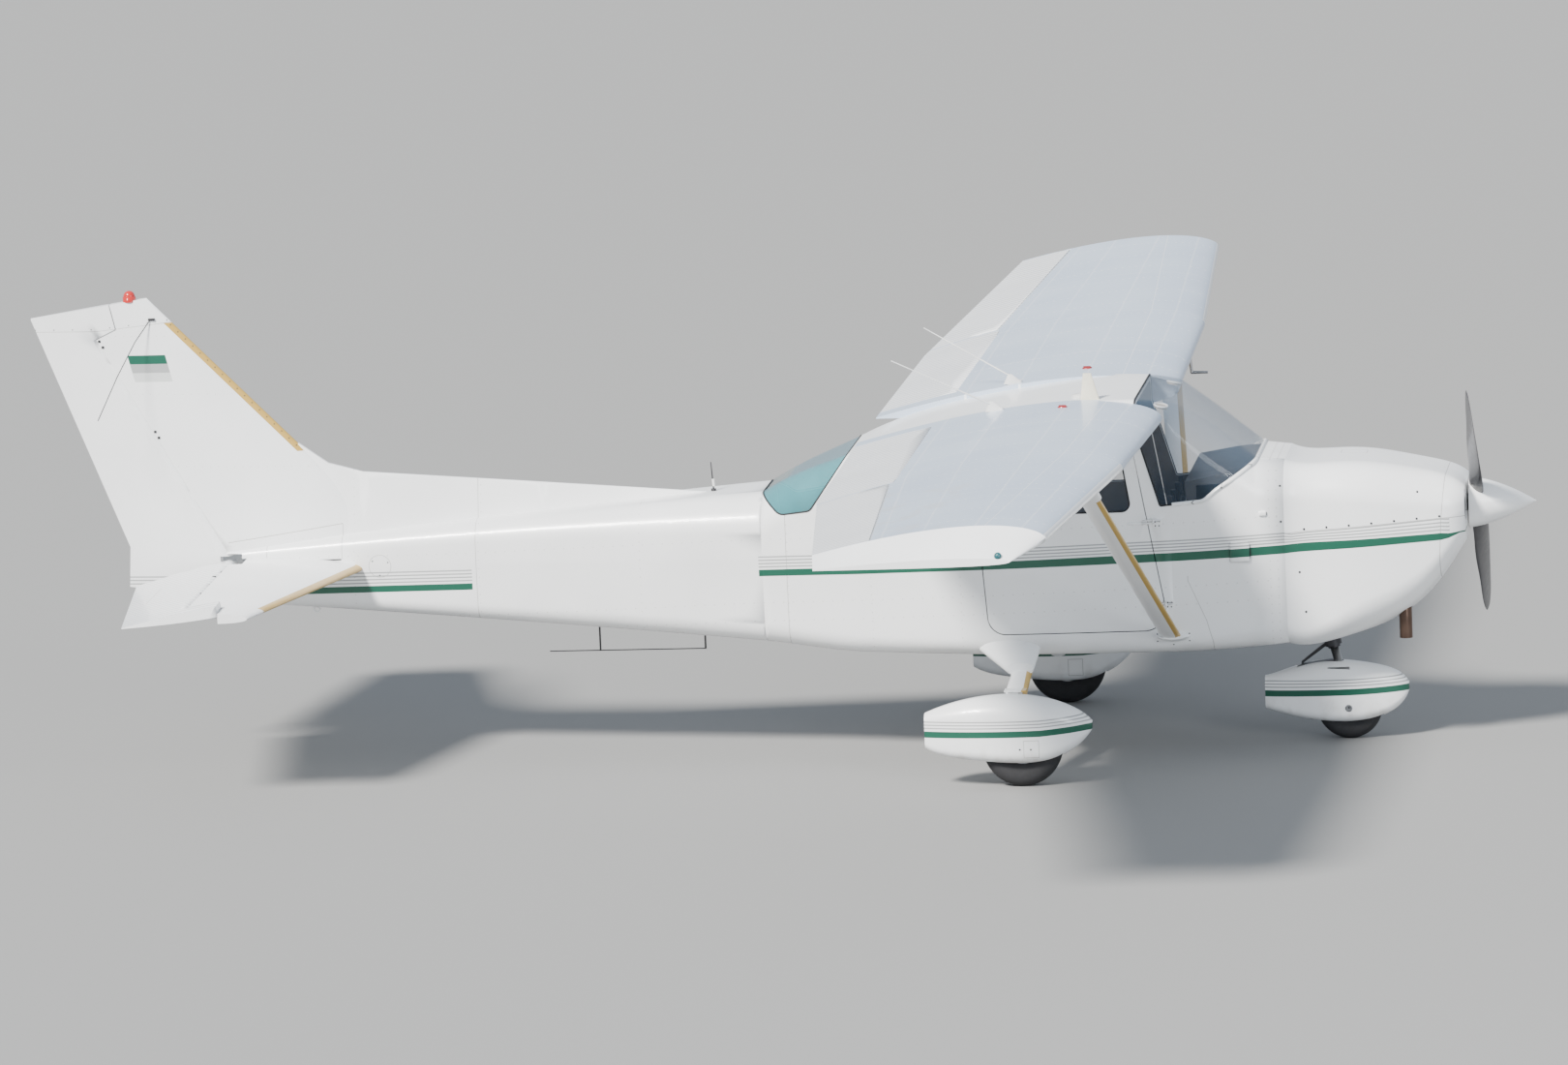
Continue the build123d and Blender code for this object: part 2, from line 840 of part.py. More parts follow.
# Aileron: a round nose about its hinge line, in a cove in the wing
aileron_low, aileron_high = [
    wing_point(y, aileron_fraction) + Vector(0, 0, chord_at(y) * middle_height(aileron_fraction))
    for y in aileron_span]
aileron_axis = (aileron_high - aileron_low).normalized()
aileron_radii = [chord_at(y) * half_thickness(aileron_fraction) - nose_inset for y in aileron_span]
aileron_planes = hinge_planes(aileron_low, aileron_high, surface_spots, (1, 0, 0))
with BuildPart() as aileron_body:
    add(wing_solid)
    add(aft_block(aileron_span, (aileron_low, aileron_high), 0), mode=Mode.INTERSECT)
    add(cone_between(aileron_low, aileron_high, *aileron_radii))
with BuildPart() as aileron_space:
    add(aft_block(aileron_span, (aileron_low, aileron_high), surface_gap))
    add(cone_between(
        aileron_low - aileron_axis * surface_gap, aileron_high + aileron_axis * surface_gap,
        aileron_radii[0] + surface_gap, aileron_radii[1] + surface_gap))
aileron_spot_radii = spot_radii(aileron_radii, surface_spots)
aileron_left = slotted(aileron_body.part, aileron_planes, aileron_spot_radii, aileron_swing)


# Flap: its front leans under the wing's upper skin, and it swings on lugs below the wing
def flap_face(y, gap):
    top = wing_point(y, flap_top_fraction)
    low = wing_point(y, flap_low_fraction)
    lean = (low.X - top.X) / (2 * flap_lean_height)
    plane = Plane(origin=(0, y, 0), x_dir=(1, 0, 0), z_dir=(0, 1, 0))
    middle = (top.X + low.X) / 2
    corners = [
        (middle + gap + lean * inner_side, -low.Z + inner_side),
        (middle + gap - lean * inner_side, -low.Z - inner_side),
        (x_at(wing_end), -low.Z - inner_side), (x_at(wing_end), -low.Z + inner_side),
    ]
    with BuildSketch(plane) as face:
        with BuildLine():
            Polyline(*corners, close=True)
        make_face()
    return face.sketch


def flap_block(gap):
    with BuildPart() as shape:
        loft([flap_face(flap_span[0] - gap, gap), flap_face(flap_span[1] + gap, gap)], ruled=True)
    return shape.part


def flap_pivot(y):
    point = wing_point(y, flap_low_fraction)
    under = chord_at(y) * half_thickness(flap_low_fraction) * flap_low_share
    return point - Vector(0, 0, under + flap_pivot_drop)


flap_low, flap_high = [flap_pivot(y) for y in flap_span]
flap_planes = hinge_planes(flap_low, flap_high, surface_spots, (1, 0, 0.8))
with BuildPart() as flap_body:
    add(wing_solid)
    add(flap_block(0), mode=Mode.INTERSECT)
    for plane in flap_planes:
        for side in (1, -1):
            with BuildSketch(plane.offset(side * (lug_thickness / 2 + lug_side_gap + ear_thickness / 2))):
                Circle(lug_radius)
                with BuildLine():
                    Polyline((lug_radius, 0), *flap_ear, (-lug_radius, 0), close=True)
                make_face()
            extrude(amount=ear_thickness / 2, both=True)
        add(hinge_pin(plane))
flap_left = flap_body.part


# A tie-down eye: a plate with a round hole, hanging from its root
def eye(centre, rise):
    plane = Plane(origin=placed(centre), x_dir=(1, 0, 0), z_dir=(0, 1, 0))
    with BuildPart() as shape:
        with BuildSketch(plane):
            Circle(eye_radius)
            with Locations((0, -rise / 2)):
                Rectangle(2 * eye_radius, rise)
            Circle(eye_hole_radius, mode=Mode.SUBTRACT)
        extrude(amount=eye_thickness / 2, both=True)
    return shape.part


# Wing with its surfaces cut away, its lugs, and its root fitted to the cabin
with BuildPart() as wing_left:
    add(wing_solid)
    add(aileron_space.part, mode=Mode.SUBTRACT)
    add(flap_block(surface_gap), mode=Mode.SUBTRACT)
    add(cabin_outer, mode=Mode.SUBTRACT)
    for plane, radius in zip(aileron_planes, aileron_spot_radii):
        add(hinge_lug(plane, radius + surface_gap + lug_grip, lug_bar))
    for plane in flap_planes:
        add(hinge_lug(plane, flap_lug_reach, 2 * lug_radius))
    add(eye(wing_eye, eye_rise))
wing_tip_left = wing_loft(tip_rows, tip_share)


# Wing strut: one streamlined tube, its ends fitted to the cabin side and the wing
strut_low = placed(along(strut_foot, strut_head, -strut_overrun))
strut_high = placed(along(strut_foot, strut_head, 1 + strut_overrun))
strut_plane = Plane(origin=strut_low, x_dir=strut_lean, z_dir=strut_high - strut_low)
with BuildPart() as strut_left:
    with BuildSketch(strut_plane):
        Ellipse(strut_chord / 2, strut_thickness / 2)
    extrude(amount=(strut_high - strut_low).length)
    add(cabin_outer, mode=Mode.SUBTRACT)
    add(wing_solid, mode=Mode.SUBTRACT)

# Main gear leg with its axle and step
with BuildPart() as leg_left:
    rings = []
    for station, y, height, chord, thickness in gear_leg_rows:
        with BuildSketch(Plane(origin=(x_at(station), y, height), x_dir=(1, 0, 0), z_dir=(0, 1, 0))) as ring:
            Ellipse(chord / 2, thickness / 2)
        rings.append(ring.sketch)
    loft(rings)
    add(cabin_outer, mode=Mode.SUBTRACT)
    with Locations(placed(step_centre)):
        Box(step_length, step_width, step_thickness)
        with Locations((0, 0, -step_post / 2)):
            Box(step_thickness * 3, step_thickness * 2, step_post)
    with Locations(Plane(origin=(x_at(main_wheel[0]), axle_start, main_axle_height), z_dir=(0, 1, 0))):
        Cylinder(axle_radius, main_wheel[1] + rim_width / 2 + axle_overhang - axle_start, align=on_end)


# Fairings where the struts and legs meet the body and the wing
with BuildPart() as foot_cuff:
    with BuildSketch(Plane(origin=placed(cuff_centre), x_dir=(1, 0, 0), z_dir=(0, 1, 0))):
        Ellipse(cuff_length / 2, cuff_height / 2)
    extrude(amount=cuff_depth, taper=cuff_taper)
    add(cabin_outer, mode=Mode.SUBTRACT)
    add(strut_left.part, mode=Mode.SUBTRACT)
with BuildPart() as head_cuff:
    cuff_root = placed(along(strut_foot, strut_head, head_cuff_share))
    with BuildSketch(Plane(origin=cuff_root, x_dir=strut_lean, z_dir=strut_high - strut_low)):
        Ellipse(strut_chord / 2 + cuff_margin, strut_thickness / 2 + cuff_margin)
    extrude(amount=head_cuff_length)
    add(wing_solid, mode=Mode.SUBTRACT)
    add(strut_left.part, mode=Mode.SUBTRACT)
with BuildPart() as leg_cuff:
    rings = []
    for station, y, height, chord, thickness in leg_cuff_rows:
        with BuildSketch(Plane(origin=(x_at(station), y, height), x_dir=(1, 0, 0), z_dir=(0, 1, 0))) as ring:
            Ellipse(chord / 2, thickness / 2)
        rings.append(ring.sketch)
    loft(rings)
    add(cabin_outer, mode=Mode.SUBTRACT)
    add(leg_left.part, mode=Mode.SUBTRACT)
with BuildPart() as cuffs:
    for cuff in (foot_cuff, head_cuff, leg_cuff):
        add(cuff.part)


# A wheel fairing: a hollow streamlined pod with a slot for the tyre
def pod(rows, y, inset):
    faces = []
    for station, half_width, top, bottom, top_radius, foot_radius in rows:
        wide = half_width - inset
        points = [(wide, bottom + inset), (wide, top - inset), (-wide, top - inset), (-wide, bottom + inset)]
        foot, crown = [max(radius - inset, pant_least_radius) for radius in (foot_radius, top_radius)]
        plane = Plane(origin=(x_at(station), y, 0), x_dir=(0, 1, 0), z_dir=(1, 0, 0))
        faces.append(rounded_face(plane, points, [foot, crown, crown, foot]))
    with BuildPart() as shape:
        loft(faces)
    return shape.part


def wheel_fairing(rows, y, station, tyre_radius, tyre_width, axle_height):
    hollow = pod(rows[1:], y, pant_wall)
    with BuildPart() as shape:
        add(pod(rows, y, 0))
        add(hollow, mode=Mode.SUBTRACT)
        add(pod([rows[-1], (rows[-1][0] + 1,) + rows[-1][1:]], y, 0))
        with Locations((x_at(station), y, axle_height - tyre_radius)):
            Box(2 * (tyre_radius + well_gap), tyre_width + 2 * well_gap, 2 * tyre_radius, mode=Mode.SUBTRACT)
    return shape.part


with BuildPart() as pant_left:
    add(wheel_fairing(
        main_pant_rows, main_wheel[1], main_wheel[0], main_tyre_radius, main_tyre_width, main_axle_height))
    add(leg_left.part, mode=Mode.SUBTRACT)


# Tyre and hub of a wheel on an axle along Y
def wheel_pieces(station, y, height, tyre_radius, tyre_width, rim_radius, axle):
    face = Plane(origin=(x_at(station), y, height), x_dir=(0, 1, 0), z_dir=(1, 0, 0))
    spin = Axis((x_at(station), y, height), (0, 1, 0))
    with BuildPart() as tyre:
        with BuildSketch(face):
            depth = tyre_radius - rim_radius
            with Locations((0, rim_radius + depth / 2)):
                RectangleRounded(tyre_width, depth, depth * tyre_corner_share)
        revolve(axis=spin)
    outer = tyre_width * rim_width_share / 2
    web = outer * web_share
    half = [
        (outer, axle + pin_gap), (outer, axle + hub_lip), (web, axle + hub_lip + web_slope),
        (web, rim_radius - rim_lip - web_slope), (outer, rim_radius - rim_lip), (outer, rim_radius),
    ]
    other_half = [(-across_hub, radius) for across_hub, radius in reversed(half)]
    with BuildPart() as hub:
        with BuildSketch(face):
            with BuildLine():
                Polyline(*half, *other_half, close=True)
            make_face()
        revolve(axis=spin)
    return tyre.part, hub.part


main_tyre, main_hub = wheel_pieces(
    main_wheel[0], main_wheel[1], main_axle_height,
    main_tyre_radius, main_tyre_width, main_rim_radius, axle_radius)
nose_tyre, nose_hub = wheel_pieces(
    nose_wheel_station, 0, nose_axle_height,
    nose_tyre_radius, nose_tyre_width, nose_rim_radius, nose_axle_radius)


# Nose gear: points on the raked strut line by height
def strut_point(height):
    return Vector(x_at(nose_wheel_station + rake * (height - nose_axle_height)), 0, height)


def strut_rod(low, high, radius):
    return cone_between(strut_point(low), strut_point(high), radius, radius)


fork_front = nose_wheel_station - fork_front_gap
fork_back = nose_wheel_station + fork_back_gap
fork_inner = nose_tyre_width / 2 + fork_gap
fork_side = [
    (nose_wheel_station - fork_foot, nose_axle_height - fork_foot),
    (nose_wheel_station + fork_foot, nose_axle_height - fork_foot),
    (fork_back, piston_foot), (fork_front + 2 * fork_front_gap, piston_foot),
]
with BuildPart() as nose_strut:
    add(strut_rod(strut_tube_foot, strut_tube_top, strut_tube_radius))
    add(slab(*strut_mount, strut_mount_half))
    add(strut_rod(strut_tube_foot - 20, strut_tube_top - 30, piston_radius + pin_gap), mode=Mode.SUBTRACT)
with BuildPart() as nose_fork:
    add(strut_rod(piston_foot, strut_tube_top - 60, piston_radius))
    fork_crown = (piston_foot - fork_depth, piston_foot + fork_rise)
    crown = slab(fork_front, fork_back, *fork_crown, fork_inner + fork_plate)
    add(crown)
    for side in (1, -1):
        with BuildSketch(beside(side * (fork_inner + fork_plate / 2))):
            with BuildLine():
                Polyline(*side_points(fork_side), close=True)
            make_face()
        extrude(amount=fork_plate / 2, both=True)
    with Locations(Plane(origin=(x_at(nose_wheel_station), 0, nose_axle_height), z_dir=(0, 1, 0))):
        Cylinder(nose_axle_radius, 2 * (fork_inner + fork_plate))
        Cylinder(tow_bore_radius, 2 * nose_tyre_width, mode=Mode.SUBTRACT)
with BuildPart() as nose_pant:
    add(wheel_fairing(
        nose_pant_rows, 0, nose_wheel_station, nose_tyre_radius, nose_tyre_width, nose_axle_height))
    add(strut_rod(piston_foot - 60, strut_tube_foot, piston_radius + pant_hole_gap), mode=Mode.SUBTRACT)
    with Locations(Plane(origin=(x_at(nose_wheel_station), 0, nose_axle_height), z_dir=(0, 1, 0))):
        Cylinder(tow_hole_radius, 3 * nose_tyre_width, mode=Mode.SUBTRACT)
    add(slab(*link_slot, link_half_width + surface_gap), mode=Mode.SUBTRACT)
    add(nose_fork.part, mode=Mode.SUBTRACT)
with BuildPart() as torque_links:
    add(strut_rod(collar_height, collar_height + collar_length, strut_tube_radius + collar_wall))
    for link in link_sides:
        with BuildSketch(beside(0)):
            with BuildLine():
                Polyline(*side_points(link), close=True)
            make_face()
        extrude(amount=link_half_width, both=True)
    collar_bore = strut_rod(
        collar_height - collar_length, collar_height + 2 * collar_length, strut_tube_radius + pin_gap)
    add(collar_bore, mode=Mode.SUBTRACT)
    add(nose_fork.part, mode=Mode.SUBTRACT)

# Tail surfaces
tail_lower = [(u, -v) for u, v in tail_foil]
elevator_hinge = Vector(x_at(elevator_hinge_station), 0, elevator_hinge_height)
elevator_inner = elevator_hinge + Vector(0, elevator_root, 0)
elevator_outer = elevator_hinge + Vector(0, horn_start, 0)


def stab_face(y, station, height, chord, drop):
    plane = wing_plane(y, station, height, chord, drop)
    return foil_face(plane, chord, tail_foil, tail_lower, trailing_edge, stab_share)


with BuildPart() as stab_half:
    loft([stab_face(*row) for row in stab_rows], ruled=True)
elevator_corners = [
    (x_at(elevator_hinge_station), elevator_root), (x_at(elevator_hinge_station), horn_start),
    (x_at(horn_front), horn_start), (x_at(horn_front), elevator_tip),
    (x_at(elevator_corner[0]), elevator_tip), (x_at(elevator_corner[0]), elevator_corner[1]),
    (x_at(elevator_hinge_station + elevator_step), elevator_root),
]
elevator_block = plan_block(elevator_corners, stab_low, stab_high)
with BuildPart() as elevator_space:
    with BuildSketch(Plane.XY.offset(stab_low)):
        with BuildLine():
            Polyline(*elevator_corners, close=True)
        make_face()
        offset(amount=surface_gap)
    extrude(amount=stab_high - stab_low)
    add(cone_between(elevator_inner, elevator_outer, *[nose + surface_gap for nose in elevator_noses]))
with BuildPart() as elevator_half:
    add(stab_half.part)
    add(elevator_block, mode=Mode.INTERSECT)
    add(cone_between(elevator_inner, elevator_outer, *elevator_noses))
elevator_planes = hinge_planes(elevator_inner, elevator_outer, surface_spots, (1, 0, 0))
elevator_spot_radii = spot_radii(elevator_noses, surface_spots)
with BuildPart() as stabilizer:
    add(stab_half.part)
    add(elevator_space.part, mode=Mode.SUBTRACT)
    for plane, radius in zip(elevator_planes, elevator_spot_radii):
        add(hinge_lug(plane, radius + surface_gap + lug_grip, lug_bar))
    add(slab(stab_root_end, tail_station, stab_low, stab_high, stab_root_half), mode=Mode.SUBTRACT)
    mirror(about=Plane.XZ)
with BuildPart() as elevator:
    add(slotted(elevator_half.part, elevator_planes, elevator_spot_radii, elevator_swing))
    mirror(about=Plane.XZ)
    with Locations(Plane(origin=elevator_hinge, z_dir=(0, 1, 0))):
        Cylinder(torque_tube_radius, 2 * (elevator_root + torque_tube_grip))

fin_side = [
    (5900, 850), (5900, 2000), (7250, 2606), (7571, 2557), (tail_station, 2459), (tail_station, 850),
]
rudder_side = [
    hinge_low, hinge_high, (7742, 2392), (7790, 2600), (tail_station + 50, 2600), (tail_station + 50, 960),
    (7737, 960), (7300, 905),
]


def fin_face(height, station, chord):
    plane = Plane(origin=(x_at(station), 0, height), x_dir=(-1, 0, 0), z_dir=(0, 0, 1))
    return foil_face(plane, chord, tail_foil, tail_lower, trailing_edge, fin_share)


with BuildPart() as fin_whole:
    loft([fin_face(*row) for row in fin_rows], ruled=True)
    add(side_prism(fin_side, 0, -far_side, far_side), mode=Mode.INTERSECT)
rudder_low = placed((hinge_low[0], 0, hinge_low[1]))
rudder_high = placed((hinge_high[0], 0, hinge_high[1]))
with BuildPart() as rudder:
    add(fin_whole.part)
    add(side_prism(rudder_side, 0, -far_side, far_side), mode=Mode.INTERSECT)
    add(cone_between(rudder_low, rudder_high, *rudder_radii))
    add(slab(*rudder_notch, far_side), mode=Mode.SUBTRACT)
rudder_planes = hinge_planes(rudder_low, rudder_high, rudder_spots, (1, 0, 0.55))
rudder_spot_radii = spot_radii(rudder_radii, rudder_spots)
rudder_piece = slotted(rudder.part, rudder_planes, rudder_spot_radii, rudder_swing)
rudder_space_cone = cone_between(rudder_low, rudder_high, *[radius + surface_gap for radius in rudder_radii])
rudder_space_block = grown_prism(rudder_side, 0, -far_side, far_side, surface_gap)
stab_room = [stab_half.part, mirrored(stab_half.part)]
with BuildPart() as fin:
    add(fin_whole.part)
    add(slab(fin_side[0][0], tail_station, fin_foot, far_high, far_side), mode=Mode.INTERSECT)
    for shape in (rudder_space_block, rudder_space_cone, tail_outer, *stab_room):
        add(shape, mode=Mode.SUBTRACT)
    for plane, radius in zip(rudder_planes[1:], rudder_spot_radii[1:]):
        add(hinge_lug(plane, radius + surface_gap + lug_grip, lug_bar))
with BuildPart() as tail_room:
    add(tail_inner)
    add(slab(tail_rows[0][0] + tail_wall, tail_room_end, far_low, far_high, far_side), mode=Mode.INTERSECT)
with BuildPart() as tailcone:
    add(tail_outer)
    add(tail_room.part, mode=Mode.SUBTRACT)
    for shape in (rudder_space_block, rudder_space_cone, *stab_room):
        add(shape, mode=Mode.SUBTRACT)
    add(slab(*tail_notch, far_side), mode=Mode.SUBTRACT)
    add(slab(*rudder_foot_room, rudder_foot_half), mode=Mode.SUBTRACT)
    add(hinge_lug(rudder_planes[0], rudder_radii[0] + surface_gap + low_lug_grip, lug_bar))
    add(eye(tail_eye, eye_rise))
with BuildPart() as dorsal_fin:
    faces = []
    for station, top, base, half_foot, half_crest in dorsal_rows:
        with BuildSketch(across(station)) as face:
            with BuildLine():
                corners = [(half_foot, base), (half_crest, top), (-half_crest, top), (-half_foot, base)]
                Polyline(*corners, close=True)
            make_face()
        faces.append(face.sketch)
    loft(faces, ruled=True)
    add(tail_outer, mode=Mode.SUBTRACT)
    add(fin_whole.part, mode=Mode.SUBTRACT)

# Propeller and spinner, turning on the crankshaft's nose
prop_centre = Vector(x_at(prop_station), 0, shaft_height)


def blade(turn):
    faces = []
    for radius, chord, thickness, pitch in blade_rows:
        direction = Vector(0, sin(radians(turn)), cos(radians(turn)))
        flat = Vector(0, cos(radians(turn)), -sin(radians(turn)))
        chordwise = flat * cos(radians(pitch)) - Vector(1, 0, 0) * sin(radians(pitch))
        centre = prop_centre + direction * radius
        with BuildSketch(Plane(origin=centre, x_dir=chordwise, z_dir=direction)) as face:
            Ellipse(chord / 2, thickness / 2)
        faces.append(face.sketch)
    with BuildPart() as shape:
        loft(faces)
    return shape.part


shaft_plane = Plane(origin=(x_at(spinner_base), 0, shaft_height), z_dir=(1, 0, 0))
with BuildPart() as propeller:
    with Locations(shaft_plane):
        Cylinder(hub_radius, hub_length, align=on_end)
    add(blade(180 + blade_angle))
    add(blade(blade_angle))
    with Locations(shaft_plane):
        Cylinder(crank_nose_radius + pin_gap, 3 * hub_length, mode=Mode.SUBTRACT)
with BuildPart() as spinner:
    with BuildSketch(Plane.XZ):
        with BuildLine():
            rim = (x_at(spinner_base), shaft_height + spinner_radius)
            tip = (x_at(0), shaft_height)
            Bezier(rim, (x_at(spinner_shoulder[0]), shaft_height + spinner_shoulder[1]), tip)
            Polyline(tip, (x_at(spinner_base), shaft_height), rim)
        make_face()
    revolve(axis=Axis((0, 0, shaft_height), (1, 0, 0)))
    add(propeller.part, mode=Mode.SUBTRACT)
    with Locations(shaft_plane):
        Cylinder(
            crank_nose_radius + spinner_room, hub_length + 2 * spinner_room, align=on_end, mode=Mode.SUBTRACT)

# Cabin furniture
with BuildPart() as cabin_floor:
    add(cabin_room.part)
    add(slab(cabin_front, floor_end, far_low, floor_height, far_side), mode=Mode.INTERSECT)
with BuildPart() as instrument_panel:
    add(cabin_room.part)
    add(side_prism(panel_side, 0, -far_side, far_side), mode=Mode.INTERSECT)
with BuildPart() as front_seats:
    for side in (1, -1):
        with BuildSketch(beside(side * seat_spacing / 2)):
            with BuildLine():
                FilletPolyline(*side_points(seat_side), radius=seat_radii, close=True)
            make_face()
        extrude(amount=seat_width / 2, both=True)
with BuildPart() as rear_seat:
    with BuildSketch(beside(0)):
        with BuildLine():
            FilletPolyline(*side_points(bench_side), radius=seat_radii, close=True)
        make_face()
    extrude(amount=bench_width / 2, both=True)
with BuildPart() as seat_frames:
    for side in (1, -1):
        for rail in (rail_share, -rail_share):
            with Locations((x_at(rail_station), side * seat_spacing / 2 + rail * seat_width, rail_centre)):
                Box(rail_length, rail_width, rail_top - floor_height)
        with Locations((x_at(bench_rail_station), side * bench_rail_side, rail_centre)):
            Box(bench_rail_length, rail_width, rail_top - floor_height)
    add(front_seats.part, mode=Mode.SUBTRACT)
    add(rear_seat.part, mode=Mode.SUBTRACT)
with BuildPart() as control_yokes:
    for side in (1, -1):
        with Locations(Plane(origin=(x_at(yoke_root), side * yoke_side, yoke_height), z_dir=(-1, 0, 0))):
            Cylinder(yoke_shaft_radius, yoke_station - yoke_root, align=on_end)
        with Locations((x_at(yoke_station), side * yoke_side, yoke_height)):
            Box(yoke_thickness, yoke_width, yoke_thickness)
            for end in (1, -1):
                with Locations((0, end * (yoke_width - yoke_thickness) / 2, yoke_horn / 2)):
                    Box(yoke_thickness, yoke_thickness, yoke_horn)
    add(instrument_panel.part, mode=Mode.SUBTRACT)

with BuildPart() as exhaust_pipe:
    with Locations((x_at(exhaust_station), exhaust_side, exhaust_foot)):
        Cylinder(exhaust_radius, exhaust_length, align=on_end)
        Cylinder(exhaust_radius - exhaust_wall, exhaust_bore, align=on_end, mode=Mode.SUBTRACT)
with BuildPart() as beacon:
    with Locations(placed(beacon_foot)):
        Cylinder(beacon_radius + beacon_lip, beacon_height, align=on_end)
        with Locations((0, 0, beacon_height)):
            Sphere(beacon_radius)
    add(fin_whole.part, mode=Mode.SUBTRACT)

# Lamps on the wing tips
with BuildPart() as tip_lamp:
    with Locations(placed(lamp_centre)):
        Sphere(lamp_radius)
    add(wing_tip_left, mode=Mode.SUBTRACT)


# Antennas on the roof, the tail cone and the belly
def rod(start, end, start_radius, end_radius):
    return cone_between(placed(start), placed(end), start_radius, end_radius)


with BuildPart() as antennas:
    for foot, tip in whip_rows:
        add(rod(foot, tip, whip_radius, whip_radius / 2))
        with Locations(placed(foot) - Vector(0, 0, whip_base_depth)):
            Cylinder(whip_base_radius, whip_base_height, align=on_end)
    with BuildSketch(Plane(origin=placed(fin_antenna), x_dir=(1, 0, 0), z_dir=(0, 0, 1))) as base:
        Ellipse(*fin_antenna_foot)
    crest_centre = placed(fin_antenna) + Vector(-fin_antenna_lean, 0, fin_antenna_height)
    with BuildSketch(Plane(origin=crest_centre, x_dir=(1, 0, 0), z_dir=(0, 0, 1))) as crest:
        Ellipse(*fin_antenna_crest)
    loft([base.sketch, crest.sketch], ruled=True)
    with Locations(placed(disc_antenna)):
        Cylinder(disc_radius, disc_height)
    for station, top, foot in belly_posts:
        add(rod((station, 0, top), (station, 0, foot), whip_radius, whip_radius))
    add(rod(belly_wire[0], belly_wire[1], wire_radius, wire_radius))
    for solid in (cabin_outer, tail_outer, wing_solid, mirrored(wing_solid)):
        add(solid, mode=Mode.SUBTRACT)

with BuildPart() as pitot_tube:
    add(rod(pitot_root, pitot_elbow, pitot_radii[0], pitot_radii[1]))
    add(rod(pitot_elbow, pitot_tip, pitot_radii[1], pitot_radii[2]))
    with Locations(placed(pitot_elbow)):
        Sphere(pitot_radii[1])
    add(wing_solid, mode=Mode.SUBTRACT)

# Rotate the elevator to the droop that it rests at
elevator_rest = elevator.part.rotate(Axis(tuple(elevator_hinge), (0, 1, 0)), -elevator_droop)

pieces = {
    "nose_bowl": nose_bowl, "upper_cowl": upper_cowl, "lower_cowl": lower_cowl, "engine_block": engine_block,
    "cabin_shell": cabin_shell, "side_windows": side_windows, "baggage_door": baggage_door,
    "cabin_floor": cabin_floor, "instrument_panel": instrument_panel, "front_seats": front_seats,
    "rear_seat": rear_seat, "seat_frames": seat_frames, "control_yokes": control_yokes,
    "tailcone": tailcone, "dorsal_fin": dorsal_fin, "fin": fin, "stabilizer": stabilizer,
    "nose_strut": nose_strut, "nose_fork": nose_fork, "nose_pant": nose_pant, "torque_links": torque_links,
    "propeller": propeller, "spinner": spinner, "exhaust_pipe": exhaust_pipe, "beacon": beacon,
    "antennas": antennas, "pitot_tube": pitot_tube,
}
for name, piece in pieces.items():
    save(name, piece.part)
solids = {
    "windscreen": windscreen, "rear_window": rear_window, "elevator": elevator_rest, "rudder": rudder_piece,
    "nose_tyre": nose_tyre, "nose_hub": nose_hub,
}
for name, piece in solids.items():
    save(name, piece)
pairs = {
    "aileron": aileron_left, "flap": flap_left, "main_tyre": main_tyre, "main_hub": main_hub,
    "door": mirrored(door_right.part), "door_glass": mirrored(door_glass),
}
for name, piece in pairs.items():
    save(name + "_left", piece)
    save(name + "_right", mirrored(piece))
both_sides = {
    "wings": wing_left.part, "wing_tips": wing_tip_left, "wing_struts": strut_left.part,
    "gear_legs": leg_left.part, "main_pants": pant_left.part, "cuffs": cuffs.part, "tip_lamps": tip_lamp.part,
}
for name, piece in both_sides.items():
    with BuildPart() as both:
        add(piece)
        add(mirrored(piece))
    save(name, both.part)
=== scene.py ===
import json
import math

import bmesh
import bpy
from mathutils import Matrix, Vector
from mathutils.bvhtree import BVHTree

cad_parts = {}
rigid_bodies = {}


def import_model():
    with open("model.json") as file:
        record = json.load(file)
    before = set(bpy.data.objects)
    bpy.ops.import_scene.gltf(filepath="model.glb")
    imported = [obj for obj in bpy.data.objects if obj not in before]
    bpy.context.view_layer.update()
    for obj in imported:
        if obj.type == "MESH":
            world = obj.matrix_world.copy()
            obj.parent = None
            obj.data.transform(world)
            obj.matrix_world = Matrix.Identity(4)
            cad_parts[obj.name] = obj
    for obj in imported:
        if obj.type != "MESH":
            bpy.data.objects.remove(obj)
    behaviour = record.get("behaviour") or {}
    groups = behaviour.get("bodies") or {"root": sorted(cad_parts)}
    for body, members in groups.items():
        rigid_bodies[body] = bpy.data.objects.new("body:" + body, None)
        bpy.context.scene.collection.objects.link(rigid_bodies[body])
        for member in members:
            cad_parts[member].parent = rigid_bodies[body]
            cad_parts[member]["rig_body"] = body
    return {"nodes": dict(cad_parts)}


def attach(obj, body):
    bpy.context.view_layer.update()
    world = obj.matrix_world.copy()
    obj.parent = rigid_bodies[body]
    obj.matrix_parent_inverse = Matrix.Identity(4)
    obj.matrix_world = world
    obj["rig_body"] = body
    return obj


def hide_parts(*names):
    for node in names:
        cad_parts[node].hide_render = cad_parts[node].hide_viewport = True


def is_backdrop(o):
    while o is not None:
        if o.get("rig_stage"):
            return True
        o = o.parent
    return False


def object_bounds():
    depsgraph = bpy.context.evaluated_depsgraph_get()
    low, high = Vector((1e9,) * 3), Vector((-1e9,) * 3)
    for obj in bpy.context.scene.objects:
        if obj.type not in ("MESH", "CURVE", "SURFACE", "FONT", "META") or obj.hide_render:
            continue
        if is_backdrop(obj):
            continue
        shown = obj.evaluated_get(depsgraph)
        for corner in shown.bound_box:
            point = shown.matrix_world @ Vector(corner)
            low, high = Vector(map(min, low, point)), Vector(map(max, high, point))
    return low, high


for leftover in list(bpy.data.objects):
    bpy.data.objects.remove(leftover)
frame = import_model()
